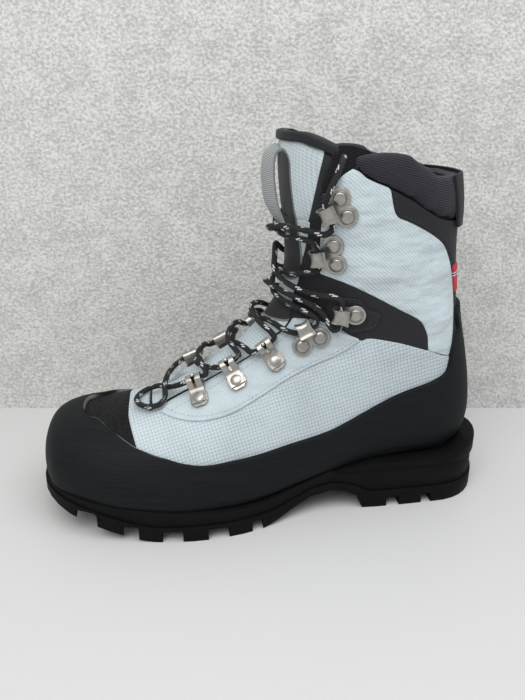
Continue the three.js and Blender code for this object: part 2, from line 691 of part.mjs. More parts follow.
// The point and outward direction of the upper's face at a drawn (x, z) on one side.
function seatAt(x, z, side) {
  const ray = new THREE.Ray(
    new THREE.Vector3(x * KX, side * HALF_SPAN, z * KZ), new THREE.Vector3(0, -side, 0),
  );
  const corners = (i, j) => [[i, j], [i, j + 1], [i + 1, j + 1], [i + 1, j]].map(
    ([a, b]) => grid[a][b % around],
  );
  for (let i = 0; i < grid.length - 1; i++) {
    for (let j = 0; j < around; j++) {
      const [a, b, c, d] = corners(i, j);
      const point = new THREE.Vector3();
      const found = ray.intersectTriangle(a, b, c, true, point)
        || ray.intersectTriangle(a, c, d, true, point);
      if (!found) continue;
      const normal = new THREE.Vector3();
      [[i, j], [i, j + 1], [i + 1, j + 1], [i + 1, j]].forEach(([row, column]) => {
        const corner = grid[row][column % around];
        const weight = 1 / (corner.distanceToSquared(point) + 1);
        normal.addScaledVector(normals[row][column % around], weight);
      });
      return { point, normal: normal.normalize() };
    }
  }
  throw new Error(`no surface at ${x}, ${z}`);
}

// A frame on the upper: X along the surface towards a drawn direction, Z out of it.
function frameAt([x, z], [dx, dz], side, lift) {
  const { point, normal } = seatAt(x, z, side);
  const toward = new THREE.Vector3(dx, 0, dz);
  toward.addScaledVector(normal, -toward.dot(normal)).normalize();
  const sideways = normal.clone().cross(toward);
  return new THREE.Matrix4()
    .makeBasis(toward, sideways, normal)
    .setPosition(point.addScaledVector(normal, lift));
}

// A strip bent in the frame's XZ plane, centred on its Y.
function strip(points, width, hole = null) {
  const shape = new THREE.Shape(points.map(([x, z]) => new THREE.Vector2(x, z)));
  if (hole) shape.holes.push(new THREE.Path(hole.map(([x, z]) => new THREE.Vector2(x, z))));
  const geometry = new THREE.ExtrudeGeometry(shape, { depth: width, bevelEnabled: false });
  geometry.translate(0, 0, -width / 2);
  geometry.rotateX(Math.PI / 2);
  return solidOf(geometry);
}

function disc(radius, height, x, y, bottom) {
  const geometry = new THREE.CylinderGeometry(radius, radius, height, 12);
  geometry.rotateX(Math.PI / 2);
  geometry.translate(x, y, bottom + height / 2);
  return solidOf(geometry);
}

// A domed rivet head standing on a plate.
function rivet(y = 0) {
  const profile = [
    [0, 0], [RIVET_RADIUS, 0], [RIVET_RADIUS, 0.45 * RIVET_HEIGHT], [0.66 * RIVET_RADIUS, 0.9 * RIVET_HEIGHT],
    [0, RIVET_HEIGHT],
  ];
  const geometry = new THREE.LatheGeometry(profile.map(([r, z]) => new THREE.Vector2(r, z)), 10);
  geometry.rotateX(Math.PI / 2);
  geometry.translate(0, y, PLATE_THICKNESS - 0.1);
  return solidOf(geometry);
}

const laceRoom = LACE_DIAMETER + LACE_ROOM;
const tunnelStart = 8.2;
const tunnelEnd = tunnelStart + laceRoom + 1.1;
const tunnelTop = PLATE_THICKNESS + laceRoom;
const PLATE_CORNER = 2.6;
const PLATE_HALF = 5.6;
const SLOT_WIDTH = 1.7;

// A strap folded over into a tunnel for the lace, riveted at its foot, with a slot in the
// fold that holds a ball.
function eyelet() {
  const wall = PLATE_THICKNESS;
  const rim = PLATE_HALF - PLATE_CORNER;
  const base = upright(
    [[PLATE_HALF, rim], [rim, PLATE_HALF], [-rim, PLATE_HALF], [-PLATE_HALF, rim], [-PLATE_HALF, -rim],
      [-rim, -PLATE_HALF], [rim, -PLATE_HALF], [PLATE_HALF, -rim]],
    0, wall,
  );
  const fold = strip(
    [[2, 0], [2, 0.8 * wall], [6, 1.1 * wall], [7.4, tunnelTop], [8.8, tunnelTop + wall],
      [tunnelEnd, tunnelTop + wall], [tunnelEnd + wall, tunnelTop], [tunnelEnd + wall, 0]],
    EYELET_WIDTH,
    [[tunnelStart, wall], [tunnelEnd, wall], [tunnelEnd, tunnelTop], [tunnelStart + 0.9, tunnelTop]],
  );
  const slot = box(6.5, ballX, -SLOT_WIDTH / 2, SLOT_WIDTH / 2, tunnelTop - 1, tunnelTop + 3);
  const socket = disc(BALL_RADIUS + 0.25, 4, ballX, 0, tunnelTop - 1);
  return base.add(fold).add(rivet()).subtract(slot).subtract(socket);
}
const ballX = tunnelEnd - BALL_RADIUS - 0.4;
function ball() {
  const geometry = new THREE.SphereGeometry(BALL_RADIUS, 8, 5);
  return solidOf(geometry);
}

const HOOK_REACH = 12.4;
const LEAF_END = 4.6;

// A strip bent back over itself, open towards its rivets.
const hookStrip = () =>
  strip(
    [[-3, 0], [HOOK_REACH, 0], [HOOK_REACH + 1.2, 1.2], [HOOK_REACH + 1.2, tunnelTop],
      [HOOK_REACH, tunnelTop + 1.2], [LEAF_END, tunnelTop + 1.2], [LEAF_END, tunnelTop],
      [HOOK_REACH - 0.5, tunnelTop], [HOOK_REACH, tunnelTop - 0.5], [HOOK_REACH, PLATE_THICKNESS + 0.5],
      [HOOK_REACH - 0.5, PLATE_THICKNESS], [-3, PLATE_THICKNESS]],
    HOOK_WIDTH,
  );

// A hook on a plate with its rivets spread along the frame's Y.
function hook(rivetPlaces) {
  let made = hookStrip();
  rivetPlaces.forEach((y) => {
    made = made.add(disc(PLATE_RADIUS, PLATE_THICKNESS, 0, y, 0)).add(rivet(y));
  });
  return made;
}

// Drawn place, direction to the lace edge, rivet places and the face that each one sits on.
const overFacing = GAP + OVERLAY_WALL + 1;
const overCuff = 1;
const EYELETS = [
  { at: [143.2, 81.5], toward: [2.4, 6.4] },
  { at: [120, 92.5], toward: [3.8, 7.3] },
  { at: [96.2, 104], toward: [4.9, 7.4] },
];
const HOOKS = [
  { name: "locking_hook", at: [74, 116.4], toward: [5.4, 10.8], rivets: [-6, 6], lift: overFacing },
  { name: "ankle_hook", at: [48.3, 134.9], toward: [10, 0.4], rivets: [0], lift: overFacing },
  { name: "cuff_hook", at: [62.4, 171.6], toward: [9.2, -2], rivets: [-5.8, 5.8], lift: overCuff },
  { name: "top_hook", at: [60.3, 199.6], toward: [8.4, -4], rivets: [-5.6, 5.6], lift: overCuff },
];

// ---------------------------------------------------------------- the lace

// Real millimetres, from its end behind the outer edge of the tongue, down through the fittings
// to a loop at the toe, and back up to its end behind the inner edge.
const LACE_ROUTE = [
  [58.5, 30, 225.5], [60, 35, 225], [62.5, 40.5, 222.5], [65.5, 43.6, 217], [69, 43.8, 209.5],
  [71.4, 41.9, 200.3], [69.1, 42.1, 195.5], [66.8, 42.3, 190.7], [67, 41.8, 186.8],
  [70.5, 39.7, 184.2], [77, 35, 185.2], [84.5, 27.5, 186], [91.3, 16, 185.5], [96.2, 3, 183],
  [95.6, -4, 181.2], [92, -13, 179], [85, -25, 178.3], [77.5, -32, 179], [73.1, -33.6, 174.8],
  [72, -33.3, 169.6], [70.9, -33, 164.4], [72, -32.6, 160.5], [75.5, -31, 158.8], [82, -25.5, 162],
  [88, -15.5, 168], [91.3, -4, 170.5], [93, 4, 166], [94, 11.5, 157.5], [88.5, 19.5, 152],
  [81, 26, 148.5], [71, 32.5, 146.7], [62, 37.8, 146.3], [58.7, 38.9, 144.3], [58, 38.6, 140.2],
  [58.2, 38.1, 135], [58.4, 37.6, 129.8], [59.6, 37.2, 126.5], [62.2, 36.7, 125.7],
  [64.4, 36, 128.3], [67, 34.6, 133.5], [73.5, 31.5, 139.5], [81, 27, 142.8], [89, 19, 145.5],
  [95.5, 8, 147.5], [97.8, -1, 148], [95, -10, 144.5], [90.5, -17, 140.5], [85, -23.5, 138],
  [79, -28.8, 136], [74.2, -32.4, 133.8], [72, -33.6, 131.6], [72.1, -33.6, 129.3],
  [74.5, -32.2, 127.3], [79.1, -31, 125], [83.7, -29.8, 122.7], [90.5, -26.5, 123.5],
  [97.5, -20, 127.5], [102.5, -10, 131], [107.5, 3, 132.8], [107.6, 12, 130.2], [103.3, 20.8, 126],
  [98.6, 26.3, 122.6], [97, 28.2, 119.8], [98.9, 28.3, 117.6], [103.3, 28.7, 114.7],
  [107.7, 29.1, 111.8], [111.3, 27, 110.5], [113.8, 22.3, 111.4], [117, 15, 111.6],
  [120, 8.5, 111.3], [119.5, 0, 112], [117, -9, 112.5], [116, -15.5, 110.9], [117.4, -18.8, 108.6],
  [120.9, -19.6, 105.8], [125.6, -19.5, 103.4], [130.3, -19.4, 101], [133.8, -18.8, 100],
  [136.5, -15, 101.8], [139.3, -7, 103.2], [142.5, 1.5, 102], [141.9, 9, 100.4],
  [140.3, 16.2, 98.4], [138.9, 20.6, 96.8], [139.3, 22.5, 95.4], [141.4, 22.6, 94.2],
  [146.3, 21.9, 92.3], [151.2, 21.2, 90.4], [157, 17.8, 87], [163, 10.5, 83], [169, 2, 80.6],
  [176, -0.5, 77.6], [181.5, 2.5, 75.6], [183.5, 9.5, 75], [181, 17, 75], [175, 22.7, 75.6],
  [168.5, 24.2, 77.8], [165.2, 20.5, 81], [165, 13, 86], [162.5, 2, 88.5], [160, -8, 88],
  [157, -15, 88.3], [152, -17.9, 90.6], [147, -18.2, 92.5], [142, -18.5, 94.4], [140, -17, 96.4],
  [141.3, -11.5, 96], [143.6, -4, 95.2], [143, 3, 95.2], [139.5, 9.5, 95.7], [134.8, 16.8, 97.6],
  [132.4, 22, 99.5], [130.2, 25, 100.9], [125.5, 25.1, 103.3], [120.8, 25.2, 105.7],
  [118.6, 24, 107.5], [119.6, 19.8, 109.5], [122.3, 14.5, 111.8], [123.6, 8, 114],
  [121.5, 0, 116.5], [117.5, -9, 117.5], [113, -17.5, 115.5], [110.3, -22.3, 112.7],
  [107.7, -24.1, 111.8], [103.3, -24.3, 114.7], [98.9, -24.5, 117.6], [97, -22.6, 119.8],
  [99, -18.5, 122.5], [104, -11, 124.8], [108, -1, 125.8], [105.6, 8, 127], [98.2, 18.3, 127.4],
  [91, 26.5, 124.2], [83.5, 31.1, 122.9], [78.8, 31.7, 125.2], [74.1, 32.3, 127.5],
  [72.1, 33.4, 129.3], [72, 33.4, 131.6], [74.2, 32.2, 133.8], [79, 28.5, 136], [85, 23, 138],
  [90.8, 16, 140.5], [94, 7, 142.8], [93.6, -1, 146.5], [91, -12, 148.8], [87, -20.5, 146.5],
  [80.5, -27.5, 143], [73.5, -32.2, 139.5], [67.2, -35, 134], [64.4, -36.2, 128.3],
  [62.2, -36.9, 125.7], [59.6, -37.4, 126.5], [58.4, -37.7, 129.7], [58.2, -38.2, 135],
  [58, -38.7, 140.3], [58.7, -39.1, 144.3], [62, -38, 146.3], [71, -33, 147], [80, -27, 149.5],
  [87, -18.5, 153], [91, -8, 157], [92, 2, 159], [89.5, 11, 157.3], [84.5, 19.5, 157.5],
  [78, 27, 159], [73.5, 31.5, 160.3], [70.9, 33.2, 164.5], [72, 33.6, 169.6], [73.1, 34, 174.7],
  [77, 32.6, 178.9], [84, 24.8, 179.8], [89.5, 13, 180], [91.6, 3, 181.2], [91.3, -4, 183.5],
  [89.8, -12, 186], [84.5, -23.5, 187.8], [77.5, -32, 188], [70.5, -39, 186], [67.3, -41.2, 187],
  [66.8, -41.9, 190.7], [69.1, -41.7, 195.5], [71.4, -41.5, 200.3], [69, -43.4, 209.5],
  [65.5, -43.2, 217], [62.5, -40.2, 222.5], [60, -35, 225], [58.5, -30, 225.5],
];
const LACE_SIDES = 8;

// A curve that is sampled at its own points, which lie closest together in the bends.
class PointCurve extends THREE.CatmullRomCurve3 {
  getUtoTmapping(u) {
    return u;
  }
}

function lace() {
  const section = Array.from({ length: LACE_SIDES }, (_, k) => {
    const angle = (2 * Math.PI * k) / LACE_SIDES;
    return new THREE.Vector2(Math.cos(angle), Math.sin(angle)).multiplyScalar(LACE_DIAMETER / 2);
  });
  const points = LACE_ROUTE.map((p) => new THREE.Vector3(...p));
  const geometry = new THREE.ExtrudeGeometry(new THREE.Shape(section), {
    steps: points.length - 1,
    extrudePath: new PointCurve(points, false, "centripetal"),
    bevelEnabled: false,
  });
  return solidOf(geometry);
}

// ---------------------------------------------------------------- the assembly

function meshOf(name, solid, color, roughness, metalness = 0) {
  const { numProp, numVert, vertProperties, triVerts } = solid.getMesh();
  const positions = new Float32Array(numVert * 3);
  for (let i = 0; i < numVert; i++) {
    positions.set(vertProperties.subarray(i * numProp, i * numProp + 3), i * 3);
  }
  const geometry = new THREE.BufferGeometry();
  geometry.setAttribute("position", new THREE.BufferAttribute(positions, 3));
  geometry.setIndex(new THREE.BufferAttribute(triVerts, 1));
  geometry.computeVertexNormals();
  const mesh = new THREE.Mesh(geometry, new THREE.MeshStandardMaterial({ color, roughness, metalness }));
  mesh.name = name;
  return mesh;
}

function placed(mesh, frame) {
  mesh.applyMatrix4(frame);
  return mesh;
}

const METAL = [0xa8a49c, 0.35, 0.9];
const RUBBER = [0x17191b, 0.8];
const FABRIC = [0xb9cbd6, 0.9];
const BLACK = [0x141416, 0.85];
const KNIT = [0x2b2a33, 0.95];

const foot = new THREE.Group();
foot.add(
  meshOf("outsole", outsole(), ...RUBBER),
  meshOf("arch_plug", archPlug(), 0xb8741c, 0.5),
  meshOf("midsole", midsole(), 0x1c1d1f, 0.9),
  meshOf("shank_plate", shankPlate(), 0x2a2d30, 0.4),
  meshOf("heel_ledge", heelLedge(), 0x1a1b1d, 0.6),
  meshOf("lasting_board", lastingBoard(), 0x8a7a60, 0.9),
  meshOf("footbed", footbed(), 0x3a3f45, 0.95),
  meshOf("rand", rand(), ...RUBBER),
  meshOf("toe_panel", toePanel(), ...BLACK),
  meshOf("toe_puff", toePuff(), 0xcfc8b8, 0.6),
  meshOf("heel_counter", heelCounter(), 0xcfc8b8, 0.6),
  meshOf("vamp_quarter", quarter(), ...FABRIC),
  meshOf("lining_foot", liningFoot(), ...KNIT),
  meshOf("lining_ankle", ankleLining(), ...KNIT),
  meshOf("tongue_lower", tongueLower(), ...FABRIC),
  meshOf("lace", lace(), ...BLACK),
);
const shaft = new THREE.Group();
shaft.add(
  meshOf("backstay", backstay(), ...BLACK),
  meshOf("heel_cap", heelCap(), ...RUBBER),
  meshOf("collar_pad", collarPad(), ...KNIT),
  meshOf("lining_shaft", shaftLining(), ...KNIT),
  meshOf("heel_tab", heelTab(), ...BLACK),
  meshOf("side_tag", sideTag(), 0xb01825, 0.8),
);
[["outer", 1], ["inner", -1]].forEach(([word, side]) => {
  foot.add(
    meshOf(`facing_${word}`, facing(side), ...FABRIC),
    meshOf(`flex_gusset_${word}`, gusset(side), ...BLACK),
    meshOf(`ankle_plate_${word}`, anklePlate(side), ...BLACK),
  );
  shaft.add(meshOf(`cuff_${word}`, cuff(side), ...FABRIC));
  EYELETS.forEach(({ at, toward }, i) => {
    const frame = frameAt(at, toward, side, overFacing);
    foot.add(placed(meshOf(`eyelet_${word}_${i + 1}`, eyelet(), ...METAL), frame));
    const seat = frame.clone().multiply(
      new THREE.Matrix4().makeTranslation(ballX, 0, tunnelTop + BALL_RADIUS),
    );
    foot.add(placed(meshOf(`ball_${word}_${i + 1}`, ball(), ...METAL), seat));
  });
  HOOKS.forEach(({ name, at, toward, rivets, lift }) => {
    const frame = frameAt(at, toward, side, lift);
    const group = name === "locking_hook" || name === "ankle_hook" ? foot : shaft;
    group.add(placed(meshOf(`${name}_${word}`, hook(rivets), ...METAL), frame));
  });
});
const tongue = new THREE.Group();
tongue.add(
  meshOf("tongue_upper", tongueUpper(), ...FABRIC),
  meshOf("tongue_binding", tongueBinding(), ...BLACK),
  meshOf("pull_loop", pullLoop(), 0x8b8f90, 0.85),
);
const boot = new THREE.Group();
boot.add(foot, shaft, tongue);

export default boot;
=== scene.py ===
"""A high laced mountaineering boot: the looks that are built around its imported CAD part."""

import math

import bmesh
import bpy
import numpy as np
from bpy.props import FloatProperty, FloatVectorProperty, IntProperty, PointerProperty
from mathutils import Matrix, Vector
from mathutils.bvhtree import BVHTree


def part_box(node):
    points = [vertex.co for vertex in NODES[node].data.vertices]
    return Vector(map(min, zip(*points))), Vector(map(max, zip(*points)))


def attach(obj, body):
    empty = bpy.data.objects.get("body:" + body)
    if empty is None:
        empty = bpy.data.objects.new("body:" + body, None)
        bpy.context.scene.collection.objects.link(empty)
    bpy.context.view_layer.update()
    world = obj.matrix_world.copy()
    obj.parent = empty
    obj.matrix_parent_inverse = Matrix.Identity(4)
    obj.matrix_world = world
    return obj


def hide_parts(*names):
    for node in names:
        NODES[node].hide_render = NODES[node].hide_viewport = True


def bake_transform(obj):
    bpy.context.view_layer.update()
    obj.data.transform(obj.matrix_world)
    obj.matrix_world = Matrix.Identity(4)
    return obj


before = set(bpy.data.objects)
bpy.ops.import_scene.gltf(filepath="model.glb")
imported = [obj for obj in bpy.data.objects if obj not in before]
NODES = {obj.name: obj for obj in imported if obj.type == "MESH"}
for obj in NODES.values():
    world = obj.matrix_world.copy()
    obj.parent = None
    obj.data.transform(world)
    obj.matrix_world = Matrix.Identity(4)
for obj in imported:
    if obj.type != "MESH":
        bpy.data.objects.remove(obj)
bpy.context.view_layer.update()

bl_info = {
    "name": "Mountaineering boot",
    "version": (1, 0, 0),
    "blender": (4, 5, 0),
    "location": "3D View > Sidebar > Boot",
    "description": "Builds the looks of a laced mountaineering boot, piece by piece",
    "category": "Add Mesh",
}

MM = 0.001

# ------------------------------------------------------------------ settings


def length(name, about, default):
    """A size in metres, shown as a length."""
    return FloatProperty(name=name, description=about, default=default, min=0.0, unit="LENGTH")


def colour(name, about, default):
    """A colour setting."""
    return FloatVectorProperty(
        name=name, description=about, default=default, size=3, min=0.0, max=1.0, subtype="COLOR"
    )


class BootSizes(bpy.types.PropertyGroup):
    """Sizes of the details that the boot's looks add to its CAD part."""

    panel_edge: length("Panel edge", "Rounding of a fabric panel's edge", 0.0006)
    rand_edge: length("Rand edge", "Rounding of the rubber rand's edge", 0.0008)
    stitch_pitch: length("Stitch pitch", "Distance from one stitch to the next", 0.0030)
    stitch_length: length("Stitch length", "Length of one stitch on the surface", 0.0023)
    thread: length("Thread", "Thickness of the sewing thread", 0.00055)
    lace: length("Lace", "Thickness of the lace", 0.0036)
    metal: length("Metal", "Thickness of the straps and plates", 0.0012)
    grid: length("Grid", "Distance between the ripstop threads", 0.0021)
    ribs: length("Ribs", "Distance between the ribs of the facing cloth", 0.0014)
    lug_bevel: length("Lug bevel", "Rounding of the sole's edges", 0.0006)
    voxel: length("Pad voxel", "Cell size of the padded pieces' cloth mesh", 0.0042)
    lace_sides: IntProperty(
        name="Lace sides", description="Faces around the lace", default=14, min=6, max=32
    )


class BootColours(bpy.types.PropertyGroup):
    """Colours of the boot's materials, as linear values."""

    ice: colour("Ice fabric", "The pale ripstop of the quarter and tongue", (0.455, 0.520, 0.545))
    rubber: colour("Rubber", "The rand", (0.0050, 0.0058, 0.0065))
    tread: colour("Tread", "The sole's rubber", (0.0030, 0.0031, 0.0033))
    cloth: colour("Black cloth", "The dark panels", (0.0125, 0.0125, 0.014))
    knit: colour("Knit", "The collar and the lining", (0.022, 0.021, 0.029))
    webbing: colour("Webbing", "The pull loop", (0.36, 0.38, 0.375))
    tag: colour("Tag", "The ribbon tag", (0.50, 0.012, 0.028))
    metal: colour("Metal", "Eyelets, hooks, rivets and balls", (0.37, 0.355, 0.325))
    fleck: colour("Fleck", "The pale threads in the lace", (0.78, 0.78, 0.76))
    wall: colour("Wall", "The wall behind the boot", (0.61, 0.61, 0.585))
    floor: colour("Floor", "The floor under the boot", (0.61, 0.605, 0.60))


def sizes():
    """The scene's size settings."""
    return bpy.context.scene.boot_sizes


def colours():
    """The scene's colour settings."""
    return bpy.context.scene.boot_colours


# ------------------------------------------------------------------ lines and outlines, mm


def smooth_line(points, step=1.6):
    """A centripetal Catmull-Rom line through the points, closely spaced."""
    p = np.array(points, float)
    ext = np.vstack([2 * p[0] - p[1], p, 2 * p[-1] - p[-2]])
    out = []
    for a, b, c, d in zip(ext, ext[1:], ext[2:], ext[3:]):
        t0 = 0.0
        t1 = t0 + math.sqrt(np.linalg.norm(b - a))
        t2 = t1 + math.sqrt(np.linalg.norm(c - b))
        t3 = t2 + math.sqrt(np.linalg.norm(d - c))
        count = max(1, int(math.ceil(np.linalg.norm(c - b) / step)))
        for t in t1 + (t2 - t1) * np.arange(count) / count:
            a1 = (t1 - t) / (t1 - t0) * a + (t - t0) / (t1 - t0) * b
            a2 = (t2 - t) / (t2 - t1) * b + (t - t1) / (t2 - t1) * c
            a3 = (t3 - t) / (t3 - t2) * c + (t - t2) / (t3 - t2) * d
            b1 = (t2 - t) / (t2 - t0) * a1 + (t - t0) / (t2 - t0) * a2
            b2 = (t3 - t) / (t3 - t1) * a2 + (t - t1) / (t3 - t1) * a3
            out.append((t2 - t) / (t2 - t1) * b1 + (t - t1) / (t2 - t1) * b2)
    out.append(p[-1])
    return np.array(out)


def beside(line, distance):
    """A line moved to its left by a distance."""
    line = np.asarray(line, float)
    ahead = np.vstack([line[1:], line[-1:]])
    behind = np.vstack([line[:1], line[:-1]])
    run = ahead - behind
    run /= np.maximum(np.linalg.norm(run, axis=1, keepdims=True), 1e-9)
    return line + distance * np.stack([-run[:, 1], run[:, 0]], 1)


def outline(*parts):
    """One closed outline from lines and loose points."""
    return np.vstack([np.atleast_2d(np.asarray(part, float)) for part in parts])


def inside_distance(points, border):
    """How far (x, z) points lie inside a closed outline, negative outside, and from where."""
    low, high = border.min(0) - 6, border.max(0) + 6
    near = np.all((points > low) & (points < high), axis=1)
    distance = np.full(len(points), -9.0)
    away = np.zeros((len(points), 2))
    away[:, 0] = 1
    p = points[near]
    a = border
    b = np.roll(border, -1, 0)
    ab = b - a
    ap = p[:, None] - a[None]
    t = np.clip((ap * ab).sum(-1) / np.maximum((ab * ab).sum(-1), 1e-12), 0, 1)
    q = ap - t[..., None] * ab
    square = (q * q).sum(-1)
    k = square.argmin(1)
    rows = np.arange(len(p))
    d = np.sqrt(square[rows, k])
    over = (a[None, :, 1] > p[:, None, 1]) != (b[None, :, 1] > p[:, None, 1])
    rise = np.where(np.abs(ab[:, 1]) < 1e-12, 1e-12, ab[:, 1])
    at = a[:, 0] + (p[:, None, 1] - a[:, 1]) * (ab[:, 0] / rise)
    held = (over & (p[:, None, 0] < at)).sum(1) % 2 == 1
    distance[near] = np.where(held, d, -d)
    away[near] = q[rows, k] / np.maximum(d, 1e-9)[:, None]
    return distance, away


TOE_SEAM = [[181, 5], [182, 50], [183.3, 55.8], [186.8, 64.2], [189, 68.2], [189.5, 95]]
LACE_EDGE = [
    [176, 71.5], [165, 76.3], [149.7, 84.1], [135.2, 92.1], [118.2, 101.8],
    [109, 107.5], [96.9, 117.1], [89.5, 122.7], [84.4, 129.8],
]
GUSSET_BOTTOM = [
    [84.4, 129.8], [71.8, 129.7], [59.4, 125.7], [43.6, 117], [40.2, 118.4], [19.9, 115],
    [0.5, 108.7],
]
HEEL_SEAM = [[0.5, 108.7], [-16, 102.3], [-70, 101]]
GUSSET_TOP = [
    [79, 156], [70.8, 158.8], [52, 152.5], [22.2, 137.2], [7.4, 128.4], [2, 119], [0.5, 108.7],
]
GUSSET_FRONT = [[84.4, 129.8], [83.5, 145], [79, 156]]
CUFF_FRONT = [
    [70.8, 158.8], [70.4, 162], [70.9, 177.2], [70.9, 190.1], [68, 204.7], [66.3, 210],
    [62.6, 215.9], [57, 220],
]
COLLAR_SEAM = [[57, 220], [53.2, 218.6], [48.7, 215.1], [35.3, 209.7]]
COLLAR_REAR = [[35.3, 209.7], [19.4, 201.2], [7.4, 194.1], [-3.9, 189.4], [-70, 186]]
COLLAR_TOP = [
    [59.5, 221], [56.9, 225.5], [54.1, 227.9], [47.8, 229.2], [42.5, 230.1], [32.6, 229.7],
    [21.6, 226.3], [7.8, 218.3], [1.8, 216.4], [-70, 214],
]
BACKSTAY_FRONT = [
    [35.3, 209.7], [29.9, 194.3], [23.7, 191.4], [13.3, 186.4], [3.2, 180.6], [-4, 175],
    [-8.6, 168.2], [-12.5, 160.6], [-16.8, 146.1], [-19, 131], [-17.5, 108], [-16, 102.3],
]
RAND_TOP = [
    [-70, 132], [-19.5, 131], [-21.8, 118], [-17.1, 108.2], [-15.6, 98.7], [-13.3, 91.8],
    [17.2, 80], [58.5, 59.4], [92, 52.8], [125.8, 48.8], [143.3, 47.7], [157.8, 50.1],
    [166.2, 52.6], [182.5, 56.9], [194.5, 61.1], [206.5, 63.9], [219, 64.7], [221, 80],
]
RAND_BOTTOM = [
    [270, 28], [236, 27], [219, 25.2], [199, 23.1], [184, 21.7], [155, 19.5], [129, 17.6],
    [106, 18], [83, 23], [61, 29], [42, 32], [16, 34.5], [-10, 35.5], [-26, 38], [-36, 41.5],
    [-70, 43],
]
FACING_SEAM = [
    [44.3, 117.9], [56.9, 108.8], [72, 102.2], [87.5, 94.9], [106.5, 84.8], [125.8, 75.5],
    [136.4, 72.6], [148.7, 71.1], [161.3, 71.7], [168, 72.6],
]
ANKLE_PLATE = [
    [65.5, 141], [61, 143.9], [49.5, 144.5], [44.8, 142.9], [41, 137.8], [37, 136.6],
    [33.8, 135], [34, 130], [36.3, 125.6], [42, 123.7], [49.6, 122.5], [59.4, 127.2],
    [65.5, 129.8],
]
TONGUE_WING = [
    [184, 95], [184, 64], [165, 67.5], [150, 74], [135, 82], [118, 92], [97, 106], [82, 117],
    [74, 128], [66, 145], [62, 160], [61, 176], [61, 197],
]
TONGUE_TOP_EDGE = [[105, 237.5], [92, 237], [84, 236.6], [76, 234], [66, 229.5]]
TONGUE_TOP_SIDE = [[66, 229.5], [66.5, 224], [68.4, 216], [70.4, 210], [72, 203], [73, 189]]
# The edge of the tongue's pale face, from the ankle to its top.
TONGUE_FACE = [
    [81.5, 140], [80.5, 156], [78.6, 172.7], [76.9, 189.3], [75, 205.1], [72.9, 219.4],
    [71.4, 227], [70.8, 230.6], [73, 233.6],
]
LINING_TOP = [[58, 206], [56, 219], [47.8, 226], [42.5, 227], [32.6, 226.5], [21.6, 223.5],
              [7.8, 215.5], [-70, 211]]
HEEL_TAB = [[-4, 215.6], [-9, 198], [-12, 184], [-70, 184], [-70, 214.5]]
SIDE_TAG = [[-13.3, 160.5], [-17.2, 143], [-24.2, 143], [-20.4, 160.5]]
# The pull loop's outer and inner edges as (x, z), the y of its inner and outer edge, its
# webbing's thickness and crown, and its rows.
LOOP_SIDES = (6.0, -3.0)
LOOP_THICKNESS = 1.6
LOOP_CROWN = 1.2
LOOP_ROWS = 90
LOOP_OUTER = [
    [88.6, 230.9], [94.2, 230.9], [97.4, 228.7], [99.2, 226], [100.9, 217.5], [100.4, 207.2],
    [98.6, 197.2], [94.9, 190.6], [89, 182.9],
]
LOOP_INNER = [
    [87, 228.5], [91.8, 228], [94.1, 224.1], [94.7, 215.6], [94, 206.9], [92.1, 195.7],
    [88.3, 184.6],
]
EYELETS = [([143.2, 81.5], [2.4, 6.4]), ([120, 92.5], [3.8, 7.3]), ([96.2, 104], [4.9, 7.4])]
HOOKS = [
    ("locking_hook", [74, 116.4], [5.4, 10.8], [-6, 6], 2.3, "foot"),
    ("ankle_hook", [48.3, 134.9], [10, 0.4], [0], 2.3, "foot"),
    ("cuff_hook", [62.4, 171.6], [9.2, -2], [-5.8, 5.8], 1.0, "shaft"),
    ("top_hook", [60.3, 199.6], [8.4, -4], [-5.6, 5.6], 1.0, "shaft"),
]
EYELET_LIFT = 2.3

# ------------------------------------------------------------------ the upper's surface, mm

# Front point (x, z), rear point (x, z), half widths outer and inner, widest place, roundness
# of the front and rear halves, and centre y of each ring from the toe tip to the collar.
RINGS = np.array([
    [243.5, 35, 243.5, 35, 0, 0, 0.55, 2, 2, -12],
    [242.6, 45, 242.8, 27, 16, 14, 0.6, 2.2, 2.4, -12],
    [239, 53.5, 239.4, 22.5, 28.5, 25, 0.64, 2.3, 2.8, -11],
    [232.5, 59, 233, 20.5, 39, 33, 0.68, 2.4, 3.4, -10],
    [220.5, 63.5, 220.5, 19, 46.5, 38.5, 0.7, 2.4, 4, -8],
    [202.5, 66.8, 202.5, 17, 52.5, 43.5, 0.72, 2.3, 4.4, -5],
    [182, 72.5, 180, 15, 55, 46.5, 0.76, 2.2, 4.6, -2],
    [160, 82, 156, 14, 55.5, 47.5, 0.8, 2, 4.8, 0],
    [139, 95, 131, 14.5, 52.5, 45.5, 0.82, 1.95, 4.8, 1],
    [120.5, 108.5, 107, 17, 47.5, 42, 0.82, 1.95, 4.8, 2],
    [106, 122.5, 82, 21, 41.5, 38, 0.8, 2, 4.8, 1.5],
    [96.5, 135, 56, 25, 37.5, 35.5, 0.74, 2, 4.6, 1],
    [90.5, 147, 29, 28, 35, 34.5, 0.66, 2.1, 4.4, 0.5],
    [88.5, 157.5, 3, 30, 35, 35, 0.6, 2.15, 4.2, 0],
    [88, 166, -19, 32, 35.5, 35.5, 0.54, 2.2, 3.8, 0],
    [88.3, 173.5, -34.5, 39, 36, 36, 0.5, 2.2, 3, 0],
    [88.8, 180, -40, 55, 37, 37, 0.48, 2.2, 2.6, 0],
    [89.5, 187, -38.5, 77, 38.5, 38, 0.47, 2.2, 2.4, 0],
    [90.3, 195, -34, 100, 40, 39.5, 0.47, 2.2, 2.3, 0],
    [91.2, 204, -28.5, 123, 41.5, 41, 0.47, 2.25, 2.25, 0],
    [92, 214, -25, 147, 43, 42.5, 0.47, 2.3, 2.2, 0],
    [92.3, 225, -22.5, 172, 44.5, 44, 0.47, 2.3, 2.2, 0],
    [91.5, 238, -21.5, 196, 46, 45.5, 0.47, 2.3, 2.2, 0],
    [90, 252, -17.5, 219, 47, 46.5, 0.47, 2.3, 2.2, 0],
])


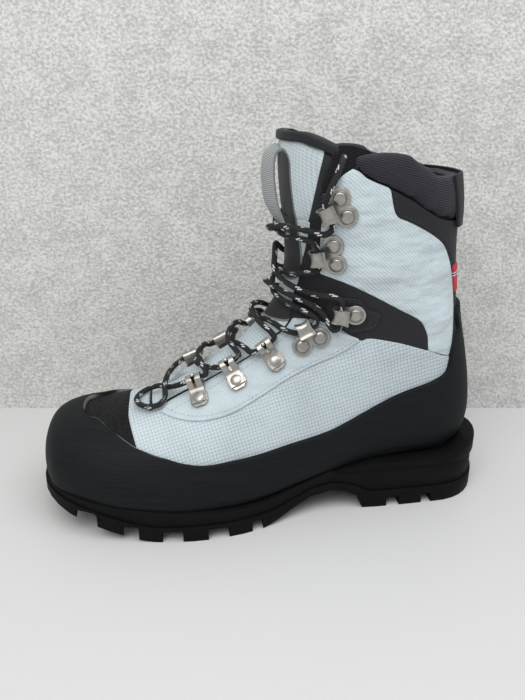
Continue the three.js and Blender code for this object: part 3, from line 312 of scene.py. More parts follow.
def ring_row(s):
    """The ring's numbers at a place s along the table, smooth from row to row."""
    mirrored = RINGS[1].copy()
    mirrored[:4] = RINGS[1][[2, 3, 0, 1]]
    mirrored[4:6] *= -1
    knots = np.vstack([mirrored, RINGS, 2 * RINGS[-1] - RINGS[-2]])
    i = min(int(s), len(RINGS) - 2)
    t = s - i
    a, b, c, d = knots[i : i + 4]
    return 0.5 * (
        2 * b + (c - a) * t + (2 * a - 5 * b + 4 * c - d) * t**2 + (3 * b - a - 3 * c + d) * t**3
    )


def half_ring(row, side, count):
    """Evenly spaced points of one side of a ring, from its front to its rear."""
    fx, fz, bx, bz, outer, inner, widest, front_power, rear_power, middle = row
    angle = np.linspace(0, math.pi, 161)
    front = angle <= math.pi / 2
    power = 2 / np.where(front, front_power, rear_power)
    across = np.abs(np.sin(angle)) ** power
    along = np.abs(np.cos(angle)) ** power
    t = np.where(front, widest * (1 - along), widest + (1 - widest) * along)
    width = (outer if side > 0 else inner) * across
    points = np.stack([fx + (bx - fx) * t, middle + side * width, fz + (bz - fz) * t], 1)
    lengths = np.r_[0, np.cumsum(np.linalg.norm(np.diff(points, axis=0), axis=1))]
    want = np.linspace(0, lengths[-1], count)
    return np.stack([np.interp(want, lengths, points[:, k]) for k in range(3)], 1)


class Upper:
    """The upper's outer face as a dense net of points with outward normals."""

    def __init__(self, rows=215, count=88):
        places = np.r_[0.04, 0.1, 0.2, 0.32, 0.46, 0.62, 0.8, 0.95, np.linspace(1.1, 23, rows)]
        rings = []
        for s in places:
            row = ring_row(s)
            outer = half_ring(row, 1, count)
            inner = half_ring(row, -1, count)
            rings.append(np.vstack([outer, inner[-2:0:-1]]))
        net = np.array(rings)
        tip = np.array([RINGS[0][0], RINGS[0][9], RINGS[0][1]])
        before = np.concatenate([np.broadcast_to(tip, net[:1].shape), net[:-1]])
        after = np.concatenate([net[1:], net[-1:]])
        across = np.roll(net, -1, 1) - np.roll(net, 1, 1)
        normal = np.cross(across, after - before)
        normal /= np.linalg.norm(normal, axis=2, keepdims=True)
        self.points = np.vstack([tip, net.reshape(-1, 3)])
        self.normals = np.vstack([[1.0, 0, 0], normal.reshape(-1, 3)])
        deep, wide = net.shape[:2]
        index = 1 + np.arange(deep * wide).reshape(deep, wide)
        turned = np.roll(index, -1, 1)
        quads = np.stack([index[:-1], turned[:-1], turned[1:], index[1:]], -1).reshape(-1, 4)
        self.faces = [[0, int(b), int(a)] for a, b in zip(index[0], turned[0])] + quads.tolist()
        triangles = [tri for f in self.faces for tri in ((f[0], f[1], f[2]), (f[0], f[2], f[-1]))
                     if len(set(tri)) == 3]
        self.tree = BVHTree.FromPolygons(self.points.tolist(), triangles)

    def seat(self, x, z, side):
        """The point and outward direction at drawn (x, z) on one side."""
        found, normal, _, _ = self.tree.ray_cast(Vector((x, side * 95, z)), Vector((0, -side, 0)))
        if found is None:
            raise RuntimeError(f"the upper has no surface at {x:.1f}, {z:.1f}")
        if normal.y * side < 0:
            normal = -normal
        return np.array(found), np.array(normal)

    def follow(self, line, side, lift):
        """A line of drawn (x, z) points laid on one side at a height."""
        laid = []
        for x, z in line:
            point, normal = self.seat(x, z, side)
            laid.append(point + normal * lift)
        return np.array(laid)


UPPER = Upper()

# ------------------------------------------------------------------ meshes


# The column of a net's rows that holds the distance to the border, and the least step in it.
BORDER = 6
LEAST_STEP = 0.03


def split(data, faces, level, keep_low=False):
    """Cuts faces where the border distance crosses a level, and drops the low side unless kept."""
    field = data[:, BORDER] - level
    field[np.abs(field) < LEAST_STEP] = 0
    f = field.tolist()
    added = []
    kept = []
    places = {}
    for face in faces:
        values = [f[i] for i in face]
        if min(values) >= 0:
            kept.append(face)
            continue
        if max(values) <= 0:
            if keep_low:
                kept.append(face)
            continue
        high = []
        low = []
        for i, j in zip(face, face[1:] + face[:1]):
            if f[i] >= 0:
                high.append(i)
            if f[i] <= 0:
                low.append(i)
            if f[i] * f[j] < 0:
                key = (min(i, j), max(i, j))
                if key not in places:
                    places[key] = len(data) + len(added)
                    t = f[key[0]] / (f[key[0]] - f[key[1]])
                    added.append(data[key[0]] * (1 - t) + data[key[1]] * t)
                high.append(places[key])
                low.append(places[key])
        if len(high) > 2:
            kept.append(high)
        if keep_low and len(low) > 2:
            kept.append(low)
    if added:
        data = np.vstack([data, added])
    return data, kept


def used_only(data, faces):
    """The same faces on just the points that they use."""
    used = sorted({i for face in faces for i in face})
    new = {old: k for k, old in enumerate(used)}
    return data[used], [[new[i] for i in face] for face in faces]


def closed_sheet(data, faces, low, high, edge):
    """A closed skin from a net of points, normals and border distances. Its face stands at a
    height, rounded down at the border by an edge radius, over a back at another height."""
    data, faces = split(data, faces, 0.0)
    for share in (0.15, 0.5, 1.0):
        data, faces = split(data, faces, share * edge, keep_low=True)
    data, faces = used_only(data, faces)
    point = data[:, :3]
    normal = data[:, 3:6] / np.linalg.norm(data[:, 3:6], axis=1, keepdims=True)
    d = np.clip(data[:, BORDER], 0, edge)
    height = high - edge + np.sqrt(np.maximum(edge**2 - (edge - d) ** 2, 0))
    top = point + normal * height[:, None]
    bottom = point + normal * low
    count = len(point)
    seen = {}
    for face in faces:
        for i, j in zip(face, face[1:] + face[:1]):
            seen[(i, j)] = True
    rims = [(i, j) for i, j in seen if (j, i) not in seen]
    every = list(faces)
    every += [[i + count for i in reversed(face)] for face in faces]
    every += [[j, i, i + count, j + count] for i, j in rims]
    return np.vstack([top, bottom]), every, np.vstack([data, data])


def mesh_object(name, points, faces, material, smooth=40.0, values=None, uv=None):
    """A mesh object from points in millimetres, shaded smooth up to an angle."""
    mesh = bpy.data.meshes.new(name)
    mesh.from_pydata((np.asarray(points) * MM).tolist(), [], faces)
    mesh.validate()
    for key, numbers in (values or {}).items():
        mesh.attributes.new(key, "FLOAT", "POINT").data.foreach_set(
            "value", np.asarray(numbers, np.float32)
        )
    if uv is not None:
        corners = np.zeros(len(mesh.loops), np.int32)
        mesh.loops.foreach_get("vertex_index", corners)
        layer = mesh.uv_layers.new(name="weave")
        layer.data.foreach_set("uv", np.asarray(uv, np.float32)[corners].ravel())
    mesh.shade_smooth()
    if smooth < 180:
        mesh.set_sharp_from_angle(angle=math.radians(smooth))
    mesh.materials.append(material)
    obj = bpy.data.objects.new(name, mesh)
    bpy.context.scene.collection.objects.link(obj)
    return obj


def weave_side(points):
    """Flat cloth coordinates, mm, for a panel at the boot's sides."""
    return np.stack([points[:, 0], 0.86 * points[:, 2] - 0.5 * np.abs(points[:, 1])], 1)


def weave_front(points):
    """Flat cloth coordinates, mm, for a panel at the boot's front."""
    return np.stack([points[:, 1], points[:, 2] - 0.45 * points[:, 0]], 1)


def panel(name, border, low, high, edge, material, side=0, weave=weave_side, holes=(), swell=0.0,
          taper=1.0):
    """A panel of the upper inside a drawn outline, between two heights over its surface."""
    flat = UPPER.points[:, [0, 2]]
    distance, away = inside_distance(flat, border)
    for hole in holes:
        other, other_away = inside_distance(flat, hole)
        nearer = -other < distance
        distance = np.where(nearer, -other, distance)
        away = np.where(nearer[:, None], other_away, away)
    lean = UPPER.normals[:, 0] * away[:, 0] + UPPER.normals[:, 2] * away[:, 1]
    distance = distance / np.sqrt(np.clip(1 - lean**2, 0.12, 1))
    data = np.hstack([UPPER.points, UPPER.normals, distance[:, None]])
    y = UPPER.points[:, 1] * side
    ok = (distance > 0) & (y >= 0 if side else True)
    hold = (y > -4) if side else np.ones(len(y), bool)
    faces = [f for f in UPPER.faces if any(ok[i] for i in f) and all(hold[i] for i in f)]
    points, every, columns = closed_sheet(data, faces, low, high, edge)
    if swell:
        count = len(points) // 2
        rise = swell * (1 - np.exp(-np.maximum(columns[:count, BORDER], 0) / taper))
        points[:count] += columns[:count, 3:6] * rise[:, None]
    return mesh_object(
        name, points, every, material, values={"edge": columns[:, BORDER]}, uv=weave(points)
    )


def evaluated_mesh(obj, name):
    """A plain mesh object from another with its modifiers applied, which is then removed."""
    bpy.context.view_layer.update()
    graph = bpy.context.evaluated_depsgraph_get()
    mesh = bpy.data.meshes.new_from_object(obj.evaluated_get(graph))
    materials = list(obj.data.materials)
    bpy.data.objects.remove(obj)
    mesh.name = name
    if not len(mesh.materials):
        for material in materials:
            mesh.materials.append(material)
    made = bpy.data.objects.new(name, mesh)
    bpy.context.scene.collection.objects.link(made)
    return made


def refined(node, name, width, material, angle=32.0):
    """A rounded copy of a CAD node, which it stands for."""
    mesh = NODES[node].data.copy()
    work = bmesh.new()
    work.from_mesh(mesh)
    bmesh.ops.remove_doubles(work, verts=work.verts, dist=2e-5)
    bmesh.ops.dissolve_limit(
        work, angle_limit=math.radians(1.0), verts=work.verts, edges=work.edges
    )
    work.to_mesh(mesh)
    work.free()
    mesh.materials.clear()
    mesh.materials.append(material)
    obj = bpy.data.objects.new(name + "_source", mesh)
    bpy.context.scene.collection.objects.link(obj)
    bevel = obj.modifiers.new("edges", "BEVEL")
    bevel.width = width
    bevel.segments = 2
    bevel.limit_method = "ANGLE"
    bevel.angle_limit = math.radians(angle)
    bevel.use_clamp_overlap = True
    bevel.harden_normals = True
    mesh.shade_smooth()
    made = evaluated_mesh(obj, name)
    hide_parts(node)
    return made


# ------------------------------------------------------------------ shader maths


class Socket:
    """A shader value that adds, multiplies and compares like a number."""

    def __init__(self, board, link):
        self.board = board
        self.link = link

    def maths(self, operation, other=0.0, third=None, flip=False, clamp=False):
        first, second = (other, self) if flip else (self, other)
        values = {0: first, 1: second}
        if third is not None:
            values[2] = third
        return self.board.node(
            "ShaderNodeMath", {"operation": operation, "use_clamp": clamp}, values
        )

    def __add__(self, other):
        return self.maths("ADD", other)

    __radd__ = __add__

    def __sub__(self, other):
        return self.maths("SUBTRACT", other)

    def __rsub__(self, other):
        return self.maths("SUBTRACT", other, flip=True)

    def __mul__(self, other):
        return self.maths("MULTIPLY", other)

    __rmul__ = __mul__

    def __truediv__(self, other):
        return self.maths("DIVIDE", other)

    def __rtruediv__(self, other):
        return self.maths("DIVIDE", other, flip=True)

    def __pow__(self, other):
        return self.maths("POWER", other)

    def __gt__(self, other):
        return self.maths("GREATER_THAN", other)

    def __lt__(self, other):
        return self.maths("LESS_THAN", other)

    def sine(self):
        return self.maths("SINE")

    def size(self):
        return self.maths("ABSOLUTE")

    def part(self):
        """What is left after the whole number."""
        return self.maths("FRACT")

    def clamped(self):
        return self.maths("ADD", 0.0, clamp=True)

    def ramp(self, low, high):
        """0 below low, 1 above high, and smooth between."""
        return self.board.node(
            "ShaderNodeMapRange",
            {"interpolation_type": "SMOOTHSTEP"},
            {"Value": self, "From Min": low, "From Max": high},
        )


class Board:
    """One material's shader, put together node by node."""

    def __init__(self, name):
        self.material = bpy.data.materials.new(name)
        self.material.use_nodes = True
        self.tree = self.material.node_tree
        self.tree.nodes.clear()

    def node(self, kind, settings=None, values=None, output=0):
        made = self.tree.nodes.new(kind)
        for key, value in (settings or {}).items():
            setattr(made, key, value)
        for key, value in (values or {}).items():
            if isinstance(value, Socket):
                self.tree.links.new(value.link, made.inputs[key])
            else:
                made.inputs[key].default_value = value
        return Socket(self, made.outputs[output]) if len(made.outputs) else None

    def place(self):
        """Object coordinates in millimetres, as x, y, z."""
        raw = self.node("ShaderNodeTexCoord", output="Object")
        scaled = self.node(
            "ShaderNodeVectorMath", {"operation": "SCALE"}, {0: raw, "Scale": 1000.0}
        )
        return scaled, [
            self.node("ShaderNodeSeparateXYZ", None, {0: scaled}, output=k) for k in range(3)
        ]

    def weave(self):
        """The piece's own flat coordinates in millimetres, as u, v."""
        raw = self.node("ShaderNodeUVMap", {"uv_map": "weave"})
        return [self.node("ShaderNodeSeparateXYZ", None, {0: raw}, output=k) for k in range(2)]

    def value(self, name):
        return self.node("ShaderNodeAttribute", {"attribute_name": name}, output="Fac")

    def noise(self, vector, scale, detail=2.0, stretch=None):
        if stretch is not None:
            vector = self.node(
                "ShaderNodeVectorMath", {"operation": "MULTIPLY"}, {0: vector, 1: stretch}
            )
        return self.node(
            "ShaderNodeTexNoise", None, {"Vector": vector, "Scale": scale, "Detail": detail}
        )

    def mix(self, factor, first, second):
        def full(value):
            return value if isinstance(value, Socket) else (*value, 1.0)

        return self.node(
            "ShaderNodeMix",
            {"data_type": "RGBA"},
            {0: factor, 6: full(first), 7: full(second)},
            output=2,
        )

    def bump(self, height, strength, distance):
        return self.node(
            "ShaderNodeBump",
            None,
            {"Height": height, "Strength": strength, "Distance": distance},
        )

    def finish(self, colour_value, roughness, normal=None, **constants):
        values = {
            "Base Color": colour_value
            if isinstance(colour_value, Socket)
            else (*colour_value, 1.0),
            "Roughness": roughness,
        }
        values.update(constants)
        if normal is not None:
            values["Normal"] = normal
        shader = self.node("ShaderNodeBsdfPrincipled", None, values)
        self.node("ShaderNodeOutputMaterial", None, {"Surface": shader})
        return self.material


def shade(value, factor):
    """A colour made lighter or darker."""
    return tuple(min(1.0, v * factor) for v in value)


def wave(socket, pitch):
    """A wave from 0 to 1 with a pitch in millimetres."""
    return (socket * (2 * math.pi / pitch)).sine() * 0.5 + 0.5


def ice_material(name, turn, grid, light=1.0):
    """Pale coated cloth: a square ripstop grid, or fine slanted ribs."""
    b = Board(name)
    u, v = b.weave()
    point, _ = b.place()
    c, s = math.cos(turn), math.sin(turn)
    across = u * c + v * s
    along = v * c - u * s
    pitch = (sizes().grid if grid else sizes().ribs) * 1000
    soft = b.noise(point, 0.045, 3.0)
    fine = b.noise(point, 1.6, 2.0)
    wobble = (b.noise(point, 0.09, 2.0) - 0.5) * 1.2
    first = wave(along + wobble, pitch) ** 2.2
    second = wave(across + wobble, pitch) ** (3.0 if grid else 1.0)
    lines = (first * 0.6 + second * 0.6) if grid else (first * 0.5 + second * 0.2 + fine * 0.3)
    threads = wave(across, 0.42) * wave(along, 0.42)
    ice = shade(colours().ice, light)
    tone = (lines * 0.55 + (soft - 0.4) * 0.5 + (fine - 0.5) * 0.5 + 0.05).clamped()
    base = b.mix(tone, shade(ice, 1.18), shade(ice, 0.58))
    crease = b.noise(point, 0.030, 2.0, (1.0, 1.0, 2.4)) * (1.5 if grid else 7.0)
    relief = (1 - lines) * 0.25 + threads * 0.05 + soft * 1.5 + fine * 0.08 + crease
    return b.finish(base, 0.62 + fine * 0.15, b.bump(relief, 0.55, 0.0012),
                    **{"Specular IOR Level": 0.35, "Sheen Weight": 0.12})


def rubber_material():
    """Brushed black rubber with a pale line painted along its edge by the toe and under the heel:
    a painted highlight.
    """
    b = Board("rand_rubber")
    point, (x, _, z) = b.place()
    brushed = b.noise(point, 1.0, 3.0, (0.05, 0.05, 1.5))
    cloud = b.noise(point, 0.03, 3.0)
    edge = b.value("edge")
    # Painted highlight: a pale line along the rand's edge by the toe and under the heel, broken up
    # by noise.
    highlight_zone = x.ramp(163.0, 171.0) + (1 - x.ramp(-24.0, -12.0)) * (1 - z.ramp(44.0, 48.0))
    cut = (1 - edge.ramp(0.25, 0.75)) * b.noise(point, 0.05, 1.0).ramp(0.38, 0.56) * highlight_zone
    base = b.mix(brushed.ramp(0.3, 0.75), colours().rubber, shade(colours().rubber, 1.9))
    base = b.mix(cut * 0.7, base, (0.20, 0.20, 0.20))
    rough = 0.50 + brushed * 0.16 + cloud * 0.06
    return b.finish(base, rough, b.bump(brushed + cloud * 1.5, 0.22, 0.0007),
                    **{"Specular IOR Level": 0.14})


def tread_material(name, value, grain):
    b = Board(name)
    point, _ = b.place()
    fine = b.noise(point, grain, 3.0)
    cloud = b.noise(point, 0.05, 2.0)
    base = b.mix(cloud, value, shade(value, 1.7))
    return b.finish(base, 0.55 + fine * 0.2, b.bump(fine + cloud, 0.3, 0.0008),
                    **{"Specular IOR Level": 0.09})


def cloth_material():
    """Dense black weave."""
    b = Board("black_cloth")
    point, _ = b.place()
    u, v = b.weave()
    weave = wave(u, 0.9) * wave(v, 0.9)
    fine = b.noise(point, 1.3, 2.0)
    base = b.mix(fine * 0.7, colours().cloth, shade(colours().cloth, 2.3))
    return b.finish(base, 0.62, b.bump(weave * 0.4 + fine * 0.6, 0.35, 0.0006),
                    **{"Specular IOR Level": 0.22, "Sheen Weight": 0.02})


def pebbled_material():
    """Black coated cloth with a raised honeycomb grain."""
    b = Board("pebbled_cloth")
    point, _ = b.place()
    cells = b.node("ShaderNodeTexVoronoi", {"feature": "F1"}, {"Vector": point, "Scale": 0.55})
    fine = b.noise(point, 2.0, 2.0)
    base = b.mix(cells.ramp(0.1, 0.8), shade(colours().cloth, 0.9), shade(colours().cloth, 0.3))
    return b.finish(base, 0.50 + fine * 0.15, b.bump((1 - cells) + fine * 0.3, 0.6, 0.0009),
                    **{"Specular IOR Level": 0.14})


def knit_material(name, light):
    """Dark knit with ribs that follow the collar's edge, made lighter or darker by a factor; the
    lining's darker copy is painted shade.
    """
    b = Board(name)
    point, (x, y, z) = b.place()
    level = z + x * -0.24
    rib = wave(level, 1.25)
    loop = wave(x + y * 0.8, 1.1)
    fine = b.noise(point, 2.2, 2.0)
    knit = shade(colours().knit, light)
    base = b.mix((rib * 0.7 + fine * 0.35).clamped(), shade(knit, 0.42), shade(knit, 1.75))
    return b.finish(base, 0.8, b.bump(rib * 0.7 + loop * rib * 0.3 + fine * 0.3, 0.6, 0.0007),
                    **{"Specular IOR Level": 0.25, "Sheen Weight": 0.08})


def webbing_material():
    b = Board("webbing")
    _, v = b.weave()
    point, _ = b.place()
    ribs = wave(v, 1.15)
    edge = b.value("edge")
    fine = b.noise(point, 1.8, 2.0)
    base = b.mix((ribs * 0.8 + fine * 0.2).clamped(), shade(colours().webbing, 0.62),
                 shade(colours().webbing, 1.15))
    return b.finish(base, 0.8, b.bump(ribs + edge.ramp(0.2, 1.0) * 0.3, 0.6, 0.0006),
                    **{"Specular IOR Level": 0.25, "Sheen Weight": 0.1})


def tag_material():
    """Woven red ribbon with a white and a navy stripe across it."""
    b = Board("ribbon_tag")
    u, v = b.weave()
    _, (_, _, z) = b.place()
    from_stripe = (z - 154.6).size()
    white = 1 - from_stripe.ramp(1.0, 1.2)
    navy = 1 - from_stripe.ramp(0.4, 0.6)
    base = b.mix(white, colours().tag, (0.75, 0.75, 0.73))
    base = b.mix(navy, base, (0.012, 0.018, 0.075))
    return b.finish(base, 0.6, b.bump(wave(u + v, 0.6), 0.3, 0.0003))


def metal_material():
    b = Board("satin_metal")
    point, _ = b.place()
    fine = b.noise(point, 2.5, 3.0)
    cloud = b.noise(point, 0.35, 2.0)
    base = b.mix(cloud, shade(colours().metal, 0.72), shade(colours().metal, 1.3))
    rough = 0.22 + fine * 0.14 + cloud * 0.08
    return b.finish(base, rough, b.bump(fine, 0.12, 0.0002), **{"Metallic": 0.95})


def ball_material():
    b = Board("bright_ball")
    point, _ = b.place()
    fine = b.noise(point, 1.5, 1.0)
    return b.finish(shade(colours().metal, 1.6), 0.16 + fine * 0.08, **{"Metallic": 1.0})


def lace_material():
    """Black round braid with pairs of pale flecks."""
    b = Board("lace_braid")
    along = b.value("along") * 1000
    turn = b.value("around")
    strands = 7.0
    left = ((turn * strands + along / 2.6) * 2 * math.pi).sine()
    right = ((turn * strands - along / 2.6) * 2 * math.pi).sine()
    braid = left * right
    across = (turn * 2.0 + along * 0.05).part()
    run = (along / 11.0).part()

    def dash(side, start):
        wide = 1 - (across - side).size().ramp(0.06, 0.10)
        return wide * (1 - (run - start).size().ramp(0.11, 0.15))

    fleck = (dash(0.36, 0.36) + dash(0.60, 0.52)).clamped() * 0.8
    cloth = colours().cloth
    base = b.mix((braid * 0.5 + 0.5).ramp(0.2, 0.9), shade(cloth, 0.45), shade(cloth, 1.9))
    base = b.mix(fleck, base, colours().fleck)
    return b.finish(base, 0.62, b.bump(braid, 0.6, 0.0005), **{"Specular IOR Level": 0.35})


def thread_material(name, value):
    b = Board(name)
    point, _ = b.place()
    twist = b.noise(point, 3.0, 1.0)
    return b.finish(b.mix(twist, shade(value, 0.8), shade(value, 1.2)), 0.65,
                    b.bump(twist, 0.3, 0.0002))


def plain_material(name, value, rough, grain=1.0):
    b = Board(name)
    point, _ = b.place()
    fine = b.noise(point, grain, 3.0)
    base = b.mix(fine, shade(value, 0.8), shade(value, 1.15))
    return b.finish(base, rough + fine * 0.1, b.bump(fine, 0.2, 0.0005))


def tongue_material():
    """The tongue's pale ripstop face between black wings."""
    b = Board("tongue_cloth")
    u, v = b.weave()
    point, _ = b.place()
    pitch = sizes().grid * 1000
    fine = b.noise(point, 1.6, 2.0)
    soft = b.noise(point, 0.06, 2.0)
    first = wave(v + u * 0.06, pitch) ** 2.2
    second = wave(u - v * 0.03, pitch) ** 3.0
    lines = first * 0.6 + second * 0.5
    ice = shade(colours().ice, 1.1)
    tone = (lines * 0.55 + (fine - 0.5) * 0.5 + (soft - 0.4) * 0.4 + 0.05).clamped()
    pale = b.mix(tone, shade(ice, 1.15), shade(ice, 0.6))
    dark = b.mix(fine, shade(colours().cloth, 0.7), shade(colours().cloth, 1.8))
    strip = b.value("strip")
    wing = b.value("face").ramp(-0.15, 0.15) * (1 - strip.ramp(-0.2, 0.2))
    piping = 1 - (strip - 0.7).size().ramp(0.45, 0.75)
    base = b.mix(piping * 0.8, b.mix(wing, dark, pale), (0.20, 0.22, 0.23))
    relief = (1 - lines) * 0.2 * wing + fine * 0.1 + wing * 0.5 + piping * 0.6
    return b.finish(base, 0.64, b.bump(relief, 0.5, 0.0012),
                    **{"Specular IOR Level": 0.33, "Sheen Weight": 0.1})


def make_materials():
    ice = ice_material("ice_ripstop", math.radians(-14), True)
    return {
        "ice": ice,
        "ribbed": ice_material("ice_ribbed", math.radians(38), False, 1.17),
        "facing": ice_material("ice_facing", math.radians(-62), False, 1.05),
        "rubber": rubber_material(),
        "tread": tread_material("sole_rubber", colours().tread, 0.9),
        "foam": tread_material("midsole_foam", shade(colours().tread, 1.25), 1.6),
        "ledge": tread_material("ledge_plastic", shade(colours().tread, 0.95), 0.6),
        "cloth": cloth_material(),
        "pebbled": pebbled_material(),
        "knit": knit_material("ribbed_knit", 1.0),
        # Painted shade: the lining is the same knit darkened to 0.4, for the shade inside the
        # boot.
        "painted_shade_knit": knit_material("lining_knit_painted_shade", 0.4),
        "webbing": webbing_material(),
        "tag": tag_material(),
        "metal": metal_material(),
        "ball": ball_material(),
        "lace": lace_material(),
        "tongue": tongue_material(),
        "pale_thread": thread_material("pale_thread", shade(colours().ice, 0.82)),
        "dark_thread": thread_material("dark_thread", (0.03, 0.03, 0.033)),
        "amber": plain_material("amber_plastic", (0.62, 0.27, 0.03), 0.3),
        "board": plain_material("fibre_board", (0.30, 0.24, 0.15), 0.8),
        "sheet": plain_material("stiffener_sheet", (0.5, 0.48, 0.4), 0.5),
        "composite": plain_material("shank_composite", (0.02, 0.022, 0.025), 0.4),
        "felt": plain_material("footbed_felt", (0.035, 0.04, 0.048), 0.9),
    }


MATERIALS = {}


def material(key):
    """One of the boot's materials, all of which are made at the first call."""
    if not MATERIALS:
        MATERIALS.update(make_materials())
    return MATERIALS[key]


# ------------------------------------------------------------------ geometry node trees


class Tree:
    """A geometry node tree with named inputs, made node by node."""

    def __init__(self, name, inputs):
        self.tree = bpy.data.node_groups.new(name, "GeometryNodeTree")
        face = self.tree.interface
        face.new_socket("Geometry", in_out="INPUT", socket_type="NodeSocketGeometry")
        self.named = {}
        for label, kind in inputs:
            self.named[label] = face.new_socket(label, in_out="INPUT", socket_type=kind)
        face.new_socket("Geometry", in_out="OUTPUT", socket_type="NodeSocketGeometry")
        self.entry = self.tree.nodes.new("NodeGroupInput")
        self.exit = self.tree.nodes.new("NodeGroupOutput")

    def node(self, kind, settings=None, values=None, output=0):
        made = self.tree.nodes.new(kind)
        for key, value in (settings or {}).items():
            setattr(made, key, value)
        for key, value in (values or {}).items():
            if isinstance(value, bpy.types.NodeSocket):
                self.tree.links.new(value, made.inputs[key])
            else:
                made.inputs[key].default_value = value
        return made.outputs[output]

    def input(self, label):
        return self.entry.outputs[label]

    def close(self, geometry):
        real = self.node("GeometryNodeRealizeInstances", None, {"Geometry": geometry})
        painted = self.node(
            "GeometryNodeSetMaterial",
            None,
            {"Geometry": real, "Material": self.input("Material")},
        )
        self.tree.links.new(painted, self.exit.inputs[0])

    def grow(self, obj, name, values):
        """The plain mesh that the tree makes from an object, which is then removed."""
        modifier = obj.modifiers.new("grow", "NODES")
        modifier.node_group = self.tree
        for label, value in values.items():
            modifier[self.named[label].identifier] = value
        return evaluated_mesh(obj, name)


def line_object(name, lines):
    """Polylines in millimetres as one mesh of edges."""
    points = []
    edges = []
    for line in lines:
        start = len(points)
        points += [tuple(np.asarray(p) * MM) for p in line]
        edges += [(start + k, start + k + 1) for k in range(len(line) - 1)]
    mesh = bpy.data.meshes.new(name)
    mesh.from_pydata(points, edges, [])
    obj = bpy.data.objects.new(name, mesh)
    bpy.context.scene.collection.objects.link(obj)
    return obj


def stitch_tree():
    """A row of stitches along each line: one thick thread end to end with the next."""
    t = Tree("stitch_rows", [("Pitch", "NodeSocketFloat"), ("Length", "NodeSocketFloat"),
                             ("Thread", "NodeSocketFloat"), ("Material", "NodeSocketMaterial")])
    curve = t.node("GeometryNodeMeshToCurve", None, {"Mesh": t.entry.outputs[0]})
    spaced = t.node("GeometryNodeResampleCurve", {"mode": "LENGTH"},
                    {"Curve": curve, "Length": t.input("Pitch")})
    ball = t.node("GeometryNodeMeshUVSphere", None, {"Segments": 6, "Rings": 5, "Radius": 0.5})
    tangent = t.node("GeometryNodeInputTangent")
    turned = t.node("FunctionNodeAlignRotationToVector", {"axis": "Z"}, {"Vector": tangent})
    scale = t.node("ShaderNodeCombineXYZ", None, {
        "X": t.input("Thread"), "Y": t.input("Thread"), "Z": t.input("Length")})
    placed = t.node("GeometryNodeInstanceOnPoints", None, {
        "Points": spaced, "Instance": ball, "Rotation": turned, "Scale": scale})
    smooth = t.node("GeometryNodeSetShadeSmooth", None, {"Geometry": placed})
    t.close(smooth)
    return t


def stitches(name, lines, key):
    """Stitches along lines in millimetres."""
    tree = stitch_tree()
    s = sizes()
    return tree.grow(line_object(name + "_path", lines), name, {
        "Pitch": s.stitch_pitch, "Length": s.stitch_length, "Thread": s.thread,
        "Material": material(key)})


def lace_tree():
    """A round tube along a line that remembers its length and its turn."""
    t = Tree("lace_tube", [("Radius", "NodeSocketFloat"), ("Sides", "NodeSocketInt"),
                           ("Material", "NodeSocketMaterial")])
    curve = t.node("GeometryNodeMeshToCurve", None, {"Mesh": t.entry.outputs[0]})
    along = t.node("GeometryNodeSplineParameter", output="Length")
    kept = t.node("GeometryNodeStoreNamedAttribute", {"data_type": "FLOAT", "domain": "POINT"},
                  {"Geometry": curve, "Name": "along", "Value": along})
    ring = t.node("GeometryNodeCurvePrimitiveCircle", {"mode": "RADIUS"},
                  {"Resolution": t.input("Sides"), "Radius": t.input("Radius")})
    turn = t.node("GeometryNodeSplineParameter", output="Factor")
    marked = t.node("GeometryNodeStoreNamedAttribute", {"data_type": "FLOAT", "domain": "POINT"},
                    {"Geometry": ring, "Name": "around", "Value": turn})
    tube = t.node("GeometryNodeCurveToMesh", None,
                  {"Curve": kept, "Profile Curve": marked, "Fill Caps": True})
    smooth = t.node("GeometryNodeSetShadeSmooth", None, {"Geometry": tube})
    t.close(smooth)
    return t


def rivet_tree():
    """A rivet head at each point, standing along the point's own direction."""
    t = Tree("rivet_heads", [("Head", "NodeSocketObject"), ("Material", "NodeSocketMaterial")])
    points = t.node("GeometryNodeMeshToPoints", None, {"Mesh": t.entry.outputs[0]})
    facing = t.node("GeometryNodeInputNamedAttribute", {"data_type": "FLOAT_VECTOR"},
                    {"Name": "facing"})
    turned = t.node("FunctionNodeAlignRotationToVector", {"axis": "Z"}, {"Vector": facing})
    head = t.node("GeometryNodeObjectInfo", None, {"Object": t.input("Head")},
                  output="Geometry")
    placed = t.node("GeometryNodeInstanceOnPoints", None, {
        "Points": points, "Instance": head, "Rotation": turned})
    t.close(placed)
    return t


# ------------------------------------------------------------------ stage


